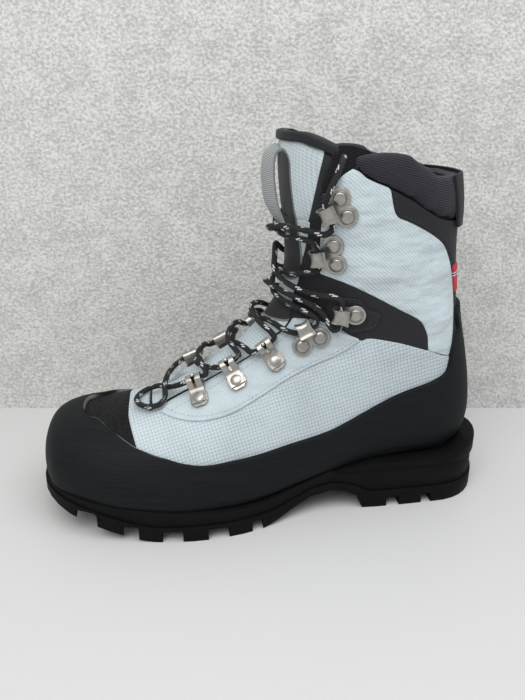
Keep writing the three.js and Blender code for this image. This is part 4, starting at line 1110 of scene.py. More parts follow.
def build_stage():
    """The camera, the lights, the floor and the wall."""
    scene = bpy.context.scene
    turn, tilt = math.radians(8.3), math.radians(21.0)
    look = Vector((-math.sin(turn) * math.cos(tilt), -math.cos(turn) * math.cos(tilt),
                   -math.sin(tilt)))
    lens = bpy.data.cameras.new("camera")
    lens.lens = 33.43
    lens.clip_start = 0.01
    camera = bpy.data.objects.new("camera", lens)
    camera.location = (0.158, 0.397, 0.255)
    camera.rotation_mode = "QUATERNION"
    camera.rotation_quaternion = look.to_track_quat("-Z", "Y")
    scene.collection.objects.link(camera)
    scene.camera = camera
    scene.view_settings.view_transform = "Standard"

    world = bpy.data.worlds.new("soft_daylight")
    world.use_nodes = True
    world.node_tree.nodes["Background"].inputs["Color"].default_value = (0.93, 0.96, 1.0, 1.0)
    world.node_tree.nodes["Background"].inputs["Strength"].default_value = 0.62
    scene.world = world

    def area(name, place, aim, size, power, tint):
        light = bpy.data.lights.new(name, "AREA")
        light.shape = "DISK"
        light.size = size
        light.energy = power
        light.color = tint
        obj = bpy.data.objects.new(name, light)
        obj.location = place
        obj.rotation_mode = "QUATERNION"
        obj.rotation_quaternion = (Vector(aim) - Vector(place)).to_track_quat("-Z", "Y")
        scene.collection.objects.link(obj)

    area("window", (0.55, 0.75, 1.05), (0.1, 0.0, 0.08), 0.9, 8.0, (1.0, 0.985, 0.96))
    area("ceiling", (-0.25, 0.35, 1.2), (0.1, 0.0, 0.1), 1.2, 8.2, (0.97, 0.985, 1.0))

    # The floor ends where the wall begins.
    sideways = Vector((math.cos(turn), -math.sin(turn), 0))
    forward = Vector((math.sin(turn), math.cos(turn), 0))
    foot = Vector((0.083, -0.118, 0))
    corners = [foot - sideways * 1.6, foot + sideways * 1.6,
               foot + sideways * 1.6 + forward * 1.6, foot - sideways * 1.6 + forward * 1.6]
    floor = mesh_object("floor", np.array(corners) / MM, [[0, 1, 2, 3]], floor_material())
    rise = Vector((0, 0, 1.6))
    wall = mesh_object(
        "wall", np.array([corners[1], corners[0], corners[0] + rise, corners[1] + rise]) / MM,
        [[0, 1, 2, 3]], wall_material(),
    )


def floor_material():
    b = Board("floor")
    point, _ = b.place()
    cloud = b.noise(point, 0.004, 2.0)
    base = b.mix(cloud, colours().floor, shade(colours().floor, 0.95))
    return b.finish(base, 0.42 + cloud * 0.1, **{"Specular IOR Level": 0.3})


def wall_material():
    """Rough pale plaster that can be seen through from behind."""
    b = Board("wall")
    point, _ = b.place()
    coarse = b.noise(point, 0.05, 6.0)
    fine = b.noise(point, 0.45, 5.0)
    tone = ((coarse - 0.5) * 1.2 + (fine - 0.5) * 3.6 + 0.5).clamped()
    base = b.mix(tone, shade(colours().wall, 0.80), shade(colours().wall, 1.16))
    plaster = b.node("ShaderNodeBsdfPrincipled", None, {
        "Base Color": base, "Roughness": 0.9, "Specular IOR Level": 0.1,
        "Normal": b.bump(fine + coarse, 0.5, 0.003)})
    clear = b.node("ShaderNodeBsdfTransparent")
    back = b.node("ShaderNodeNewGeometry", output="Backfacing")
    shown = b.node("ShaderNodeMixShader", None, {0: back, 1: plaster, 2: clear})
    b.node("ShaderNodeOutputMaterial", None, {"Surface": shown})
    return b.material


# ------------------------------------------------------------------ lace

# The lace's centre line, mm, from its outer end to its inner end.
LACE_ROUTE = [
    [58.5, 30, 225.5], [60, 35, 225], [62.5, 40.5, 222.5], [65.5, 43.6, 217], [69, 43.8, 209.5],
    [71.4, 41.9, 200.3], [69.1, 42.1, 195.5], [66.8, 42.3, 190.7], [67, 41.8, 186.8],
    [70.5, 39.7, 184.2], [77, 35, 185.2], [84.5, 27.5, 186], [91.3, 16, 185.5], [96.2, 3, 183],
    [95.6, -4, 181.2], [92, -13, 179], [85, -25, 178.3], [77.5, -32, 179], [73.1, -33.6, 174.8],
    [72, -33.3, 169.6], [70.9, -33, 164.4], [72, -32.6, 160.5], [75.5, -31, 158.8],
    [82, -25.5, 162], [88, -15.5, 168], [91.3, -4, 170.5], [93, 4, 166], [94, 11.5, 157.5],
    [88.5, 19.5, 152], [81, 26, 148.5], [71, 32.5, 146.7], [62, 37.8, 146.3],
    [58.7, 38.9, 144.3], [58, 38.6, 140.2], [58.2, 38.1, 135], [58.4, 37.6, 129.8],
    [59.6, 37.2, 126.5], [62.2, 36.7, 125.7], [64.4, 36, 128.3], [67, 34.6, 133.5],
    [73.5, 31.5, 139.5], [81, 27, 142.8], [89, 19, 145.5], [95.5, 8, 147.5], [97.8, -1, 148],
    [95, -10, 144.5], [90.5, -17, 140.5], [85, -23.5, 138], [79, -28.8, 136],
    [74.2, -32.4, 133.8], [72, -33.6, 131.6], [72.1, -33.6, 129.3], [74.5, -32.2, 127.3],
    [79.1, -31, 125], [83.7, -29.8, 122.7], [90.5, -26.5, 123.5], [97.5, -20, 127.5],
    [102.5, -10, 131], [107.5, 3, 132.8], [107.6, 12, 130.2], [103.3, 20.8, 126],
    [98.6, 26.3, 122.6], [97, 28.2, 119.8], [98.9, 28.3, 117.6], [103.3, 28.7, 114.7],
    [107.7, 29.1, 111.8], [111.3, 27, 110.5], [113.8, 22.3, 111.4], [117, 15, 111.6],
    [120, 8.5, 111.3], [119.5, 0, 112], [117, -9, 112.5], [116, -15.5, 110.9],
    [117.4, -18.8, 108.6], [120.9, -19.6, 105.8], [125.6, -19.5, 103.4], [130.3, -19.4, 101],
    [133.8, -18.8, 100], [136.5, -15, 101.8], [139.3, -7, 103.2], [142.5, 1.5, 102],
    [141.9, 9, 100.4], [140.3, 16.2, 98.4], [138.9, 20.6, 96.8], [139.3, 22.5, 95.4],
    [141.4, 22.6, 94.2], [146.3, 21.9, 92.3], [151.2, 21.2, 90.4], [157, 17.8, 87],
    [163, 10.5, 83], [169, 2, 80.6], [176, -0.5, 77.6], [181.5, 2.5, 75.6], [183.5, 9.5, 75],
    [181, 17, 75], [175, 22.7, 75.6], [168.5, 24.2, 77.8], [165.2, 20.5, 81], [165, 13, 86],
    [162.5, 2, 88.5], [160, -8, 88], [157, -15, 88.3], [152, -17.9, 90.6], [147, -18.2, 92.5],
    [142, -18.5, 94.4], [140, -17, 96.4], [141.3, -11.5, 96], [143.6, -4, 95.2], [143, 3, 95.2],
    [139.5, 9.5, 95.7], [134.8, 16.8, 97.6], [132.4, 22, 99.5], [130.2, 25, 100.9],
    [125.5, 25.1, 103.3], [120.8, 25.2, 105.7], [118.6, 24, 107.5], [119.6, 19.8, 109.5],
    [122.3, 14.5, 111.8], [123.6, 8, 114], [121.5, 0, 116.5], [117.5, -9, 117.5],
    [113, -17.5, 115.5], [110.3, -22.3, 112.7], [107.7, -24.1, 111.8], [103.3, -24.3, 114.7],
    [98.9, -24.5, 117.6], [97, -22.6, 119.8], [99, -18.5, 122.5], [104, -11, 124.8],
    [108, -1, 125.8], [105.6, 8, 127], [98.2, 18.3, 127.4], [91, 26.5, 124.2],
    [83.5, 31.1, 122.9], [78.8, 31.7, 125.2], [74.1, 32.3, 127.5], [72.1, 33.4, 129.3],
    [72, 33.4, 131.6], [74.2, 32.2, 133.8], [79, 28.5, 136], [85, 23, 138], [90.8, 16, 140.5],
    [94, 7, 142.8], [93.6, -1, 146.5], [91, -12, 148.8], [87, -20.5, 146.5], [80.5, -27.5, 143],
    [73.5, -32.2, 139.5], [67.2, -35, 134], [64.4, -36.2, 128.3], [62.2, -36.9, 125.7],
    [59.6, -37.4, 126.5], [58.4, -37.7, 129.7], [58.2, -38.2, 135], [58, -38.7, 140.3],
    [58.7, -39.1, 144.3], [62, -38, 146.3], [71, -33, 147], [80, -27, 149.5], [87, -18.5, 153],
    [91, -8, 157], [92, 2, 159], [89.5, 11, 157.3], [84.5, 19.5, 157.5], [78, 27, 159],
    [73.5, 31.5, 160.3], [70.9, 33.2, 164.5], [72, 33.6, 169.6], [73.1, 34, 174.7],
    [77, 32.6, 178.9], [84, 24.8, 179.8], [89.5, 13, 180], [91.6, 3, 181.2], [91.3, -4, 183.5],
    [89.8, -12, 186], [84.5, -23.5, 187.8], [77.5, -32, 188], [70.5, -39, 186],
    [67.3, -41.2, 187], [66.8, -41.9, 190.7], [69.1, -41.7, 195.5], [71.4, -41.5, 200.3],
    [69, -43.4, 209.5], [65.5, -43.2, 217], [62.5, -40.2, 222.5], [60, -35, 225],
    [58.5, -30, 225.5],
]


def ankle_blend(obj):
    """Bakes a piece's transform into its mesh."""
    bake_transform(obj)


def build_lace():
    """The lace: a round braid through every eyelet and hook."""
    line = smooth_line(LACE_ROUTE, 0.9)
    s = sizes()
    lace = lace_tree().grow(line_object("lace_path", [line]), "lace_braid", {
        "Radius": s.lace / 2, "Sides": s.lace_sides, "Material": material("lace")})
    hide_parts("lace")
    ankle_blend(lace)


# ------------------------------------------------------------------ sole


def build_sole():
    """The lugged outsole, the midsole and the heel's ledge."""
    bevel = sizes().lug_bevel
    for node, key, slot in (
        ("outsole", "tread", "sole_rubber"),
        ("midsole", "foam", "midsole_foam"),
        ("heel_ledge", "ledge", "ledge_plastic"),
    ):
        piece = refined(node, node + "_block", bevel, material(key))
        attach(piece, "foot")
    for node, key in (
        ("arch_plug", "amber"), ("shank_plate", "composite"), ("lasting_board", "board"),
        ("toe_puff", "sheet"), ("heel_counter", "sheet"),
    ):
        dress(node, key)


def dress(node, key):
    """Gives a CAD node its material and soft edges where it stands."""
    obj = NODES[node]
    obj.data.materials.clear()
    obj.data.materials.append(material(key))
    obj.data.shade_smooth()
    obj.data.set_sharp_from_angle(angle=math.radians(35))


# ------------------------------------------------------------------ upper


def joined(*lines):
    """Smoothed lines one after another as one outline."""
    return outline(*[smooth_line(line) if len(line) > 2 else line for line in lines])


def place_piece(piece, body, slot, *nodes):
    """Hides the CAD nodes that a piece stands for and attaches it to the body it moves with, or at
    the ankle bakes its transform; what it is made of is not used.
    """
    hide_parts(*nodes)
    if body == "ankle":
        ankle_blend(piece)
    else:
        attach(piece, body)


def build_upper():
    """The quarter, the facings, the ankle and the cuffs."""
    edge = sizes().panel_edge / MM
    quarter = joined(TOE_SEAM[:-1], [[189.2, 95], [176, 95]], LACE_EDGE, GUSSET_BOTTOM, HEEL_SEAM,
                     [[-70, 5]])
    place_piece(
        panel("quarter", quarter, -2.4, 0.0, edge, material("ice")),
        "foot", "ice_fabric", "vamp_quarter")
    toe = outline(smooth_line(TOE_SEAM[:-1]) + [0.2, 0], [[189.2, 95], [270, 95], [270, 5]])
    place_piece(
        panel("toe_cap", toe, -2.4, 0.45, edge, material("pebbled")),
        "foot", "black_fabric", "toe_panel")
    for side, word in ((1, "outer"), (-1, "inner")):
        gusset = joined(GUSSET_FRONT, GUSSET_TOP[1:], GUSSET_BOTTOM[1:-1][::-1])
        place_piece(
            panel("flex_panel_" + word, gusset, -2.4, -0.15, 0.4, material("cloth"), side),
            "ankle", "black_fabric", "flex_gusset_" + word)
        facing = outline(
            smooth_line(beside(LACE_EDGE[1:], 1.2)), [[71.8, 128.6], [59.4, 124.4]],
            smooth_line(FACING_SEAM))
        place_piece(
            panel("facing_panel_" + word, facing, -0.2, 1.3, edge, material("facing"), side),
            "foot", "ice_ribbed_fabric", "facing_" + word)
        place_piece(
            panel("ankle_patch_" + word, joined(ANKLE_PLATE), -0.2, 1.3, edge,
                  material("cloth"), side),
            "foot", "black_fabric", "ankle_plate_" + word)
        cuff = joined(CUFF_FRONT, COLLAR_SEAM, BACKSTAY_FRONT, [[0.5, 108.7]],
                      GUSSET_TOP[1:-1][::-1])
        place_piece(
            panel("cuff_panel_" + word, cuff, -2.4, 0.0, edge, material("ribbed"), side,
                  swell=0.9, taper=9.0),
            "shaft", "ice_ribbed_fabric", "cuff_" + word)
    back = joined(BACKSTAY_FRONT, [[-70, 101]], COLLAR_REAR[::-1])
    place_piece(
        panel("back_panel", back, -2.4, 0.35, edge, material("cloth")),
        "shaft", "black_fabric", "backstay")
    place_piece(
        panel("ribbon", outline(SIDE_TAG), 0.2, 1.2, 0.3, material("tag"), 1),
        "shaft", "tag_fabric", "side_tag")


def build_rand():
    """The rubber rand around the foot."""
    border = joined(RAND_TOP, [[270, 80]], RAND_BOTTOM)
    rand = panel("rand_band", border, -0.1, 2.8, sizes().rand_edge / MM, material("rubber"))
    place_piece(rand, "ankle", "rand_rubber", "rand", "heel_cap")


def build_lining():
    """The knitted lining and the footbed."""
    wing = smooth_line(TONGUE_WING)
    border = outline(wing, [[59, 204]], LINING_TOP, [[-70, -20], [270, -20], [270, 95]])
    # The lining's knit is darkened as painted shade.
    lining = panel("lining_sock", border, -6.9, -2.6, 0.8, material("painted_shade_knit"))
    place_piece(lining, "ankle", "knit_lining", "lining_foot", "lining_ankle", "lining_shaft")
    bed = refined("footbed", "footbed_sheet", 0.0008, material("felt"))
    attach(bed, "foot")


# How long the padding's cloth is left to settle, in frames, and how far it may move, m.
STUFFING_FRAMES = 14
STUFFING_REACH = 0.005


def inflated(name, source, key, pin):
    """A padded piece: the source's shape puffed out as a stuffed cloth, held where pin says."""
    source.modifiers.clear()
    remesh = source.modifiers.new("cells", "REMESH")
    remesh.mode = "VOXEL"
    remesh.voxel_size = sizes().voxel
    pad = evaluated_mesh(source, name)
    rest = np.zeros(len(pad.data.vertices) * 3)
    pad.data.vertices.foreach_get("co", rest)
    rest = rest.reshape(-1, 3)
    held = pad.vertex_groups.new(name="held")
    for k, weight in enumerate(pin(rest / MM)):
        held.add([k], float(weight), "REPLACE")
    cloth = pad.modifiers.new("stuffing", "CLOTH")
    cloth.settings.quality = 6
    cloth.settings.mass = 0.2
    cloth.settings.tension_stiffness = 12
    cloth.settings.compression_stiffness = 12
    cloth.settings.bending_stiffness = 0.8
    cloth.settings.use_pressure = True
    cloth.settings.uniform_pressure_force = 4.0
    cloth.settings.vertex_group_mass = "held"
    cloth.settings.effector_weights.gravity = 0
    scene = bpy.context.scene
    for step in range(1, STUFFING_FRAMES + 1):
        scene.frame_set(step)
    graph = bpy.context.evaluated_depsgraph_get()
    puffed = pad.evaluated_get(graph)
    moved = np.zeros(len(rest) * 3)
    puffed.data.vertices.foreach_get("co", moved)
    shift = moved.reshape(-1, 3) - rest
    far = np.linalg.norm(shift, axis=1, keepdims=True)
    shift *= np.minimum(1, STUFFING_REACH / np.maximum(far, 1e-9))
    pad.modifiers.remove(cloth)
    scene.frame_set(1)
    pad.data.vertices.foreach_set("co", (rest + shift).ravel())
    smooth = pad.modifiers.new("even", "SMOOTH")
    smooth.factor = 0.5
    smooth.iterations = 3
    finer = pad.modifiers.new("finer", "SUBSURF")
    finer.levels = 1
    finer.render_levels = 1
    made = evaluated_mesh(pad, name)
    made.data.materials.clear()
    made.data.materials.append(material(key))
    made.data.shade_smooth()
    return made


def build_collar():
    """The padded collar and the tab behind it."""
    border = joined(COLLAR_TOP, COLLAR_REAR[::-1], COLLAR_SEAM[:-1][::-1])
    source = panel("collar_source", border, -6.4, 1.6, 1.6, material("knit"))

    def pin(points):
        distance, _ = inside_distance(points[:, [0, 2]], joined(
            COLLAR_SEAM, COLLAR_REAR, [[-70, 150], [57, 150]]))
        return np.clip((distance + 3.0) / 3.0, 0, 1)

    collar = inflated("collar_padding", source, "knit", pin)
    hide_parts("collar_pad")
    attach(collar, "shaft")
    tab = panel("rear_tab", outline(smooth_line(HEEL_TAB[:3]), HEEL_TAB[3:]), 1.2, 3.0, 0.7,
                material("cloth"))
    place_piece(tab, "shaft", "black_fabric", "heel_tab")


# ------------------------------------------------------------------ tongue


def fold_blend(obj):
    """Bakes a piece's transform into its mesh."""
    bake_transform(obj)


def face_distance(points):
    """How far points lie on the pale side of the line between the tongue's face and wings."""
    line = smooth_line(TONGUE_FACE)
    border = outline(line, [[84, 234.6], [92, 235], [105, 235.5], [140, 200], [140, 130]])
    distance, _ = inside_distance(points[:, [0, 2]], border)
    return distance


def strip_distance(points):
    """How far points lie inside the dark strip up the tongue or the patch under it."""
    inside = []
    for middle, half_width, half_height, corner in ((190, 18.5, 39, 9), (132.5, 20, 6.5, 3)):
        across = np.abs(points[:, 1]) - half_width + corner
        up = np.abs(points[:, 2] - middle) - half_height + corner
        outside = np.hypot(np.maximum(across, 0), np.maximum(up, 0))
        inside.append(corner - outside - np.minimum(np.maximum(across, up), 0))
    return np.maximum(*inside)


def set_face(obj):
    """Stores the face's and strip's distances and flat cloth coordinates on a mesh."""
    mesh = obj.data
    points = np.zeros(len(mesh.vertices) * 3)
    mesh.vertices.foreach_get("co", points)
    points = points.reshape(-1, 3) / MM
    for key, numbers in (("face", face_distance(points)), ("strip", strip_distance(points))):
        store = mesh.attributes.get(key) or mesh.attributes.new(key, "FLOAT", "POINT")
        store.data.foreach_set("value", numbers.astype(np.float32))
    corners = np.zeros(len(mesh.loops), np.int32)
    mesh.loops.foreach_get("vertex_index", corners)
    layer = mesh.uv_layers.get("weave") or mesh.uv_layers.new(name="weave")
    layer.data.foreach_set("uv", weave_front(points).astype(np.float32)[corners].ravel())


def build_tongue():
    """The tongue from the toe to its folding top, its binding and its pull loop."""
    edge = smooth_line(beside(LACE_EDGE, -1.4))
    face = outline([[174.6, 95], [174.6, 73.6]], edge[4:-4],
                   [[86, 131], [85, 140], [82.6, 146], [81.6, 156], [79, 172.7], [77.4, 189.3],
                    [130, 189.3]])
    lower = panel("tongue_face", face, -5.2, -2.3, 0.8, material("tongue"), weave=weave_front)
    set_face(lower)
    lower_face = lower.data.attributes["face"]
    lower_face.data.foreach_set("value", np.ones(len(lower.data.vertices), np.float32))
    ankle_blend(lower)
    wings = outline(smooth_line(TONGUE_WING[1:]), [[61, 205], [130, 205], [184, 110]])
    wing = panel("tongue_wings", wings, -6.6, -2.7, 0.8, material("cloth"))
    place_piece(wing, "ankle", "ice_fabric", "tongue_lower")

    top = outline(smooth_line(TONGUE_TOP_EDGE), smooth_line(TONGUE_TOP_SIDE),
                  [[73, 184], [105, 184]])
    source = panel("tongue_source", top, -6.4, -1.8, 1.6, material("tongue"))

    def pin(points):
        return np.clip((199 - points[:, 2]) / 6, 0, 1)

    upper = inflated("tongue_padding", source, "tongue", pin)
    set_face(upper)
    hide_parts("tongue_upper")
    fold_blend(upper)
    rim = smooth_line(TONGUE_TOP_EDGE)
    band = outline((rim + [0, 2.4])[::-1], rim + [0, -3.4])
    binding = panel("tongue_rim", band, -7.0, -0.3, 1.6, material("cloth"))
    place_piece(binding, "tongue_top", "black_binding", "tongue_binding")
    build_loop()


def build_loop():
    """The ribbed webbing loop, turned to the side, that stands off the tongue's face."""
    outer = smooth_line(LOOP_OUTER, 0.7)
    inner = smooth_line(LOOP_INNER, 0.7)
    count = LOOP_ROWS
    edges = []
    for line, y in zip((inner, outer), LOOP_SIDES):
        at = np.r_[0, np.cumsum(np.linalg.norm(np.diff(line, axis=0), axis=1))]
        want = np.linspace(0, at[-1], count)
        x, z = (np.interp(want, at, line[:, k]) for k in range(2))
        edges.append(np.stack([x, np.full(count, y), z], 1))
    run = np.gradient((edges[0] + edges[1]) / 2, axis=0)
    length_at = np.r_[0, np.cumsum(np.linalg.norm(run, axis=1))][:-1]
    width = np.linalg.norm(edges[1] - edges[0], axis=1)
    outward = np.cross(edges[1] - edges[0], run)
    outward *= np.sign(outward[:, 1:2])
    outward /= np.linalg.norm(outward, axis=1, keepdims=True)
    rows = []
    shares = np.linspace(0, 1, 17)
    for k in range(count):
        for share in shares:
            point = edges[0][k] * (1 - share) + edges[1][k] * share
            bow = LOOP_CROWN * (1 - (2 * share - 1) ** 2)
            border = min(min(share, 1 - share) * width[k], 3)
            rows.append([*(point + outward[k] * bow), *outward[k], border,
                         share * width[k], length_at[k]])
    data = np.array(rows)
    wide = len(shares)
    faces = [[i * wide + j, i * wide + j + 1, (i + 1) * wide + j + 1, (i + 1) * wide + j]
             for i in range(count - 1) for j in range(wide - 1)]
    points, every, columns = closed_sheet(data, faces, -LOOP_THICKNESS, 0.0, 0.5)
    loop = mesh_object("loop_webbing", points, every, material("webbing"),
                       values={"edge": columns[:, BORDER]}, uv=columns[:, 7:9])
    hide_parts("pull_loop")
    fold_blend(loop)


# ------------------------------------------------------------------ metal fittings


def fitting_frame(at, toward, side, lift):
    """Origin and X, Y, Z directions of a fitting that stands on the upper."""
    point, normal = UPPER.seat(at[0], at[1], side)
    x = np.array([toward[0], 0, toward[1]], float)
    x -= normal * (x @ normal)
    x /= np.linalg.norm(x)
    return point + normal * lift, np.stack([x, np.cross(normal, x), normal])


def turned_head(profile, places, count=36):
    """Lathed heads around the local Z axis at the places along Y, as points and faces."""
    points = []
    faces = []
    angles = np.arange(count) * 2 * math.pi / count
    for y in places:
        start = len(points)
        for radius, height in profile[:-1]:
            points += [(radius * math.cos(a), y + radius * math.sin(a), height) for a in angles]
        points.append((0, y, profile[-1][1]))
        rows = len(profile) - 1
        for k in range(rows - 1):
            for j in range(count):
                a, b = start + k * count + j, start + k * count + (j + 1) % count
                faces.append([a, b, b + count, a + count])
        top = start + (rows - 1) * count
        faces += [[top + j, top + (j + 1) % count, len(points) - 1] for j in range(count)]
        faces.append([start + j for j in reversed(range(count))])
    return np.array(points), faces


def strap(line, widths, thickness, cut=None, saddle=0.0, rim=0.0):
    """A strip bent along a centre line of (x, z), with a width at each of its points."""
    line = smooth_line(line, 0.45)
    at = np.r_[0, np.cumsum(np.linalg.norm(np.diff(line, axis=0), axis=1))]
    share = at / at[-1]
    half = np.interp(share, widths[0], widths[1]) / 2
    run = np.gradient(line, axis=0)
    run /= np.linalg.norm(run, axis=1, keepdims=True)
    rows = []
    columns = np.linspace(-1, 1, 27)
    for k, (x, z) in enumerate(line):
        for c in columns:
            y = c * half[k]
            reach = saddle * max(0.0, x - 4) / 9 * (c * c - 0.4)
            lift = rim * c**4 * (z > 4)
            border = min(half[k] - abs(y), at[k], at[-1] - at[k])
            if cut is not None:
                border = min(border, cut(x, y, z))
            rows.append([x + reach, y, z + lift, run[k, 1], 0, -run[k, 0], border])
    data = np.array(rows)
    data[:, 6] = np.minimum(data[:, 6], 2.0)
    wide = len(columns)
    faces = [[i * wide + j, (i + 1) * wide + j, (i + 1) * wide + j + 1, i * wide + j + 1]
             for i in range(len(line) - 1) for j in range(wide - 1)]
    points, every, _ = closed_sheet(data, faces, -thickness / 2, thickness / 2, 0.28)
    return points, every


def plate(distance_of, thickness):
    """A flat plate where a distance is positive, lying on z = 0."""
    steps = np.linspace(-PLATE_REACH, PLATE_REACH, PLATE_ROWS)
    x, y = np.meshgrid(steps, steps, indexing="ij")
    flat = np.stack([x.ravel(), y.ravel()], 1)
    data = np.zeros((len(flat), 7))
    data[:, :2] = flat
    data[:, 5] = 1
    data[:, 6] = distance_of(flat[:, 0], flat[:, 1])
    wide = len(steps)
    faces = [[i * wide + j, (i + 1) * wide + j, (i + 1) * wide + j + 1, i * wide + j + 1]
             for i in range(wide - 1) for j in range(wide - 1)]
    faces = [f for f in faces if max(data[i, 6] for i in f) > 0]
    points, every, _ = closed_sheet(data, faces, 0.0, thickness, 0.35)
    return points, every


def assembled(name, parts, origin, axes, key):
    """Local parts as one mesh object standing in a frame."""
    points = []
    faces = []
    for part_points, part_faces in parts:
        start = sum(len(p) for p in points)
        points.append(np.asarray(part_points) @ axes + origin)
        faces += [[start + i for i in face] for face in part_faces]
    return mesh_object(name, np.vstack(points), faces, material(key), smooth=38.0)


# Half the side of the square net that plates are cut from, mm, and its rows.
PLATE_REACH = 14.0
PLATE_ROWS = 57
# Lathe profiles of the two rivet heads: radius and height, mm.
DOME = [(4.1, 0.9), (4.1, 1.75), (3.9, 2.15), (3.2, 2.6), (2.2, 2.95), (1.1, 3.1), (0, 3.15)]
RINGED = [(4.7, 0.9), (4.7, 1.5), (4.5, 1.8), (4.25, 1.8), (4.05, 1.35), (3.85, 1.35), (3.7, 1.9),
          (3.2, 2.25), (2.0, 2.45), (1.0, 2.5), (0, 2.5)]


def square_distance(x, y):
    """Inside distance of an eyelet's square plate with cut corners."""
    return np.minimum(5.6 - np.maximum(np.abs(x), np.abs(y)),
                      (8.6 - np.abs(x) - np.abs(y)) / math.sqrt(2))


def slot_distance(x, y, z):
    """Distance from a strap's keyhole slot, whose round end holds the ball."""
    if z < 2.4:
        return 9.0
    run = min(max(x, 6.6), 12.3)
    return min(math.hypot(x - run, y) - 0.85, math.hypot(x - 12.0, y) - 1.5)


def heads_distance(places):
    """Inside distance of a hook's plate: its round ends and the neck to its leaf."""

    def distance(x, y):
        discs = np.max([6.2 - np.hypot(x, y - place) for place in places], axis=0)
        neck = np.minimum(5.0 - np.abs(y), np.minimum(x + 1.0, 7.0 - x))
        return np.minimum(np.maximum(discs, neck), 2.0)

    return distance


def build_fittings():
    """The eyelets with their balls, and the hooks."""
    thick = sizes().metal / MM
    heads = {"foot": [], "shaft": []}
    rings = {"foot": [], "shaft": []}
    for side, word in ((1, "outer"), (-1, "inner")):
        for k, (at, toward) in enumerate(EYELETS):
            origin, axes = fitting_frame(at, toward, side, EYELET_LIFT)
            fold = strap(
                [[-3.5, 0.6], [5, 0.62], [10.5, 0.66], [13.2, 1.4], [14.6, 3.6], [13.9, 5.9],
                 [12, 6.75], [9.8, 6.5], [7.9, 4.6], [6.3, 2.6], [4.2, 1.9], [-3.5, 1.86]],
                ([0, 1], [9.6, 9.6]), thick * 0.92, slot_distance)
            base = plate(square_distance, thick)
            piece = assembled(f"eyelet_strap_{word}_{k + 1}", [fold, base], origin, axes, "metal")
            place_piece(piece, "foot", "satin_nickel", f"eyelet_{word}_{k + 1}")
            heads["foot"].append((origin, axes[2]))
            node = f"ball_{word}_{k + 1}"
            low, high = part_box(node)
            ball = bead(f"bead_{word}_{k + 1}", (low + high) / 2)
            place_piece(ball, node, "satin_nickel", node)
        for name, at, toward, places, lift, body in HOOKS:
            origin, axes = fitting_frame(at, toward, side, lift)
            leaf = strap(
                [[-2, 0.62], [6, 0.62], [10.6, 0.66], [12.6, 1.5], [13.2, 3.6], [12.6, 5.7],
                 [10.8, 6.6], [8, 6.5], [5.4, 6.9], [4.0, 7.7]],
                ([0, 0.30, 0.55, 0.80, 1], [10, 10, 9.6, 8.6, 10.2]), thick, None, 1.3, 0.55)
            base = plate(heads_distance(places), thick)
            piece = assembled(f"{name}_leaf_{word}", [leaf, base], origin, axes, "metal")
            place_piece(piece, body, "satin_nickel", f"{name}_{word}")
            for place in places:
                rings[body].append((origin + axes[1] * place, axes[2]))
    for body in ("foot", "shaft"):
        for kind, profile, found in (("dome", DOME, heads[body]), ("ring", RINGED, rings[body])):
            if found:
                rivets(f"rivets_{kind}_{body}", profile, found, body)


def bead(name, centre):
    """A smooth ball in an eyelet's keyhole."""
    profile = [(1.3 * math.sin(a), -1.3 * math.cos(a)) for a in np.linspace(0.05, math.pi, 14)]
    points, faces = turned_head(profile, [0], 24)
    return mesh_object(name, points + np.array(centre) / MM, faces, material("ball"), smooth=180)


def rivets(name, profile, found, body):
    """A rivet head at each (point, direction), grown from one head."""
    points, faces = turned_head(profile, [0])
    head = mesh_object(name + "_head", points, faces, material("metal"), smooth=50)
    seats = line_object(name + "_seats", [[p] for p, _ in found])
    store = seats.data.attributes.new("facing", "FLOAT_VECTOR", "POINT")
    store.data.foreach_set("vector", np.array([n for _, n in found], np.float32).ravel())
    made = rivet_tree().grow(seats, name, {"Head": head, "Material": material("metal")})
    bpy.data.objects.remove(head)
    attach(made, body)


# ------------------------------------------------------------------ stitching


def build_stitches():
    """The rows of stitches along the panels' seams."""
    foot = []
    dark_foot = []
    shaft = []
    for side in (1, -1):
        seam = smooth_line(FACING_SEAM)
        foot.append(UPPER.follow(beside(seam, 2.2)[2:-2], side, 1.35))
        edge = smooth_line(beside(LACE_EDGE[1:], 1.2))
        foot.append(UPPER.follow(beside(edge, 2.6)[2:-2], side, 1.35))
        plate_line = smooth_line(ANKLE_PLATE[1:-1])
        dark_foot.append(UPPER.follow(beside(plate_line, 1.8)[2:-2], side, 1.4))
        back = beside(smooth_line(BACKSTAY_FRONT[:-2]), -1.8)[3:-3]
        shaft.append(UPPER.follow(back, side, 0.5))
    pieces = ((foot, "pale_thread", "foot", "stitches_facing"),
              (dark_foot, "dark_thread", "foot", "stitches_ankle"),
              (shaft, "dark_thread", "shaft", "stitches_back"))
    for lines, key, body, name in pieces:
        made = stitches(name, lines, key)
        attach(made, body)


# ------------------------------------------------------------------ the add-on


class BuildOperator:
    """What each builder's operator does: it runs its builder."""

    bl_options = {"REGISTER", "UNDO"}

    def execute(self, context):
        self.build()
        return {"FINISHED"}


class BOOT_OT_stage(BuildOperator, bpy.types.Operator):
    """Add the camera, the lights, the floor and the wall"""

    bl_idname = "boot.stage"
    bl_label = "Stage"

    def build(self):
        build_stage()


class BOOT_OT_lace(BuildOperator, bpy.types.Operator):
    """Build the lace"""

    bl_idname = "boot.lace"
    bl_label = "Lace"

    def build(self):
        build_lace()


class BOOT_OT_sole(BuildOperator, bpy.types.Operator):
    """Build the outsole, the midsole and the heel's ledge"""

    bl_idname = "boot.sole"
    bl_label = "Sole"

    def build(self):
        build_sole()


class BOOT_OT_upper(BuildOperator, bpy.types.Operator):
    """Build the upper's fabric panels"""

    bl_idname = "boot.upper"
    bl_label = "Upper"

    def build(self):
        build_upper()


class BOOT_OT_rand(BuildOperator, bpy.types.Operator):
    """Build the rubber rand"""

    bl_idname = "boot.rand"
    bl_label = "Rand"

    def build(self):
        build_rand()


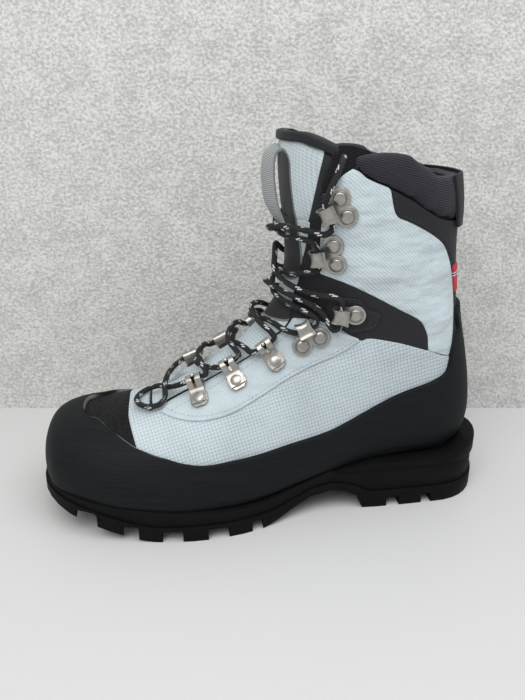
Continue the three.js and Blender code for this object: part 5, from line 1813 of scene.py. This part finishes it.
class BOOT_OT_lining(BuildOperator, bpy.types.Operator):
    """Build the lining and the footbed"""

    bl_idname = "boot.lining"
    bl_label = "Lining"

    def build(self):
        build_lining()


class BOOT_OT_collar(BuildOperator, bpy.types.Operator):
    """Build the padded collar and its rear tab"""

    bl_idname = "boot.collar"
    bl_label = "Collar"

    def build(self):
        build_collar()


class BOOT_OT_tongue(BuildOperator, bpy.types.Operator):
    """Build the tongue, its binding and its pull loop"""

    bl_idname = "boot.tongue"
    bl_label = "Tongue"

    def build(self):
        build_tongue()


class BOOT_OT_fittings(BuildOperator, bpy.types.Operator):
    """Build the eyelets, the balls, the hooks and the rivets"""

    bl_idname = "boot.fittings"
    bl_label = "Fittings"

    def build(self):
        build_fittings()


class BOOT_OT_stitches(BuildOperator, bpy.types.Operator):
    """Sew the panels' seams"""

    bl_idname = "boot.stitches"
    bl_label = "Stitches"

    def build(self):
        build_stitches()


OPERATORS = (
    BOOT_OT_stage, BOOT_OT_lace, BOOT_OT_sole, BOOT_OT_upper, BOOT_OT_rand, BOOT_OT_lining,
    BOOT_OT_collar, BOOT_OT_tongue, BOOT_OT_fittings, BOOT_OT_stitches,
)


class BOOT_PT_panel(bpy.types.Panel):
    """The builders and their settings in the sidebar"""

    bl_label = "Mountaineering boot"
    bl_space_type = "VIEW_3D"
    bl_region_type = "UI"
    bl_category = "Boot"

    def draw(self, context):
        column = self.layout.column()
        for operator in OPERATORS:
            column.operator(operator.bl_idname)
        for group in (context.scene.boot_sizes, context.scene.boot_colours):
            for key in group.bl_rna.properties.keys():
                if key not in {"rna_type", "name"}:
                    column.prop(group, key)


CLASSES = (BootSizes, BootColours, *OPERATORS, BOOT_PT_panel)


def register():
    for cls in CLASSES:
        bpy.utils.register_class(cls)
    bpy.types.Scene.boot_sizes = PointerProperty(type=BootSizes)
    bpy.types.Scene.boot_colours = PointerProperty(type=BootColours)


def unregister():
    del bpy.types.Scene.boot_colours
    del bpy.types.Scene.boot_sizes
    for cls in reversed(CLASSES):
        bpy.utils.unregister_class(cls)


def main():
    register()
    for operator in OPERATORS:
        group, name = operator.bl_idname.split(".")
        getattr(getattr(bpy.ops, group), name)()


if __name__ == "__main__":
    main()
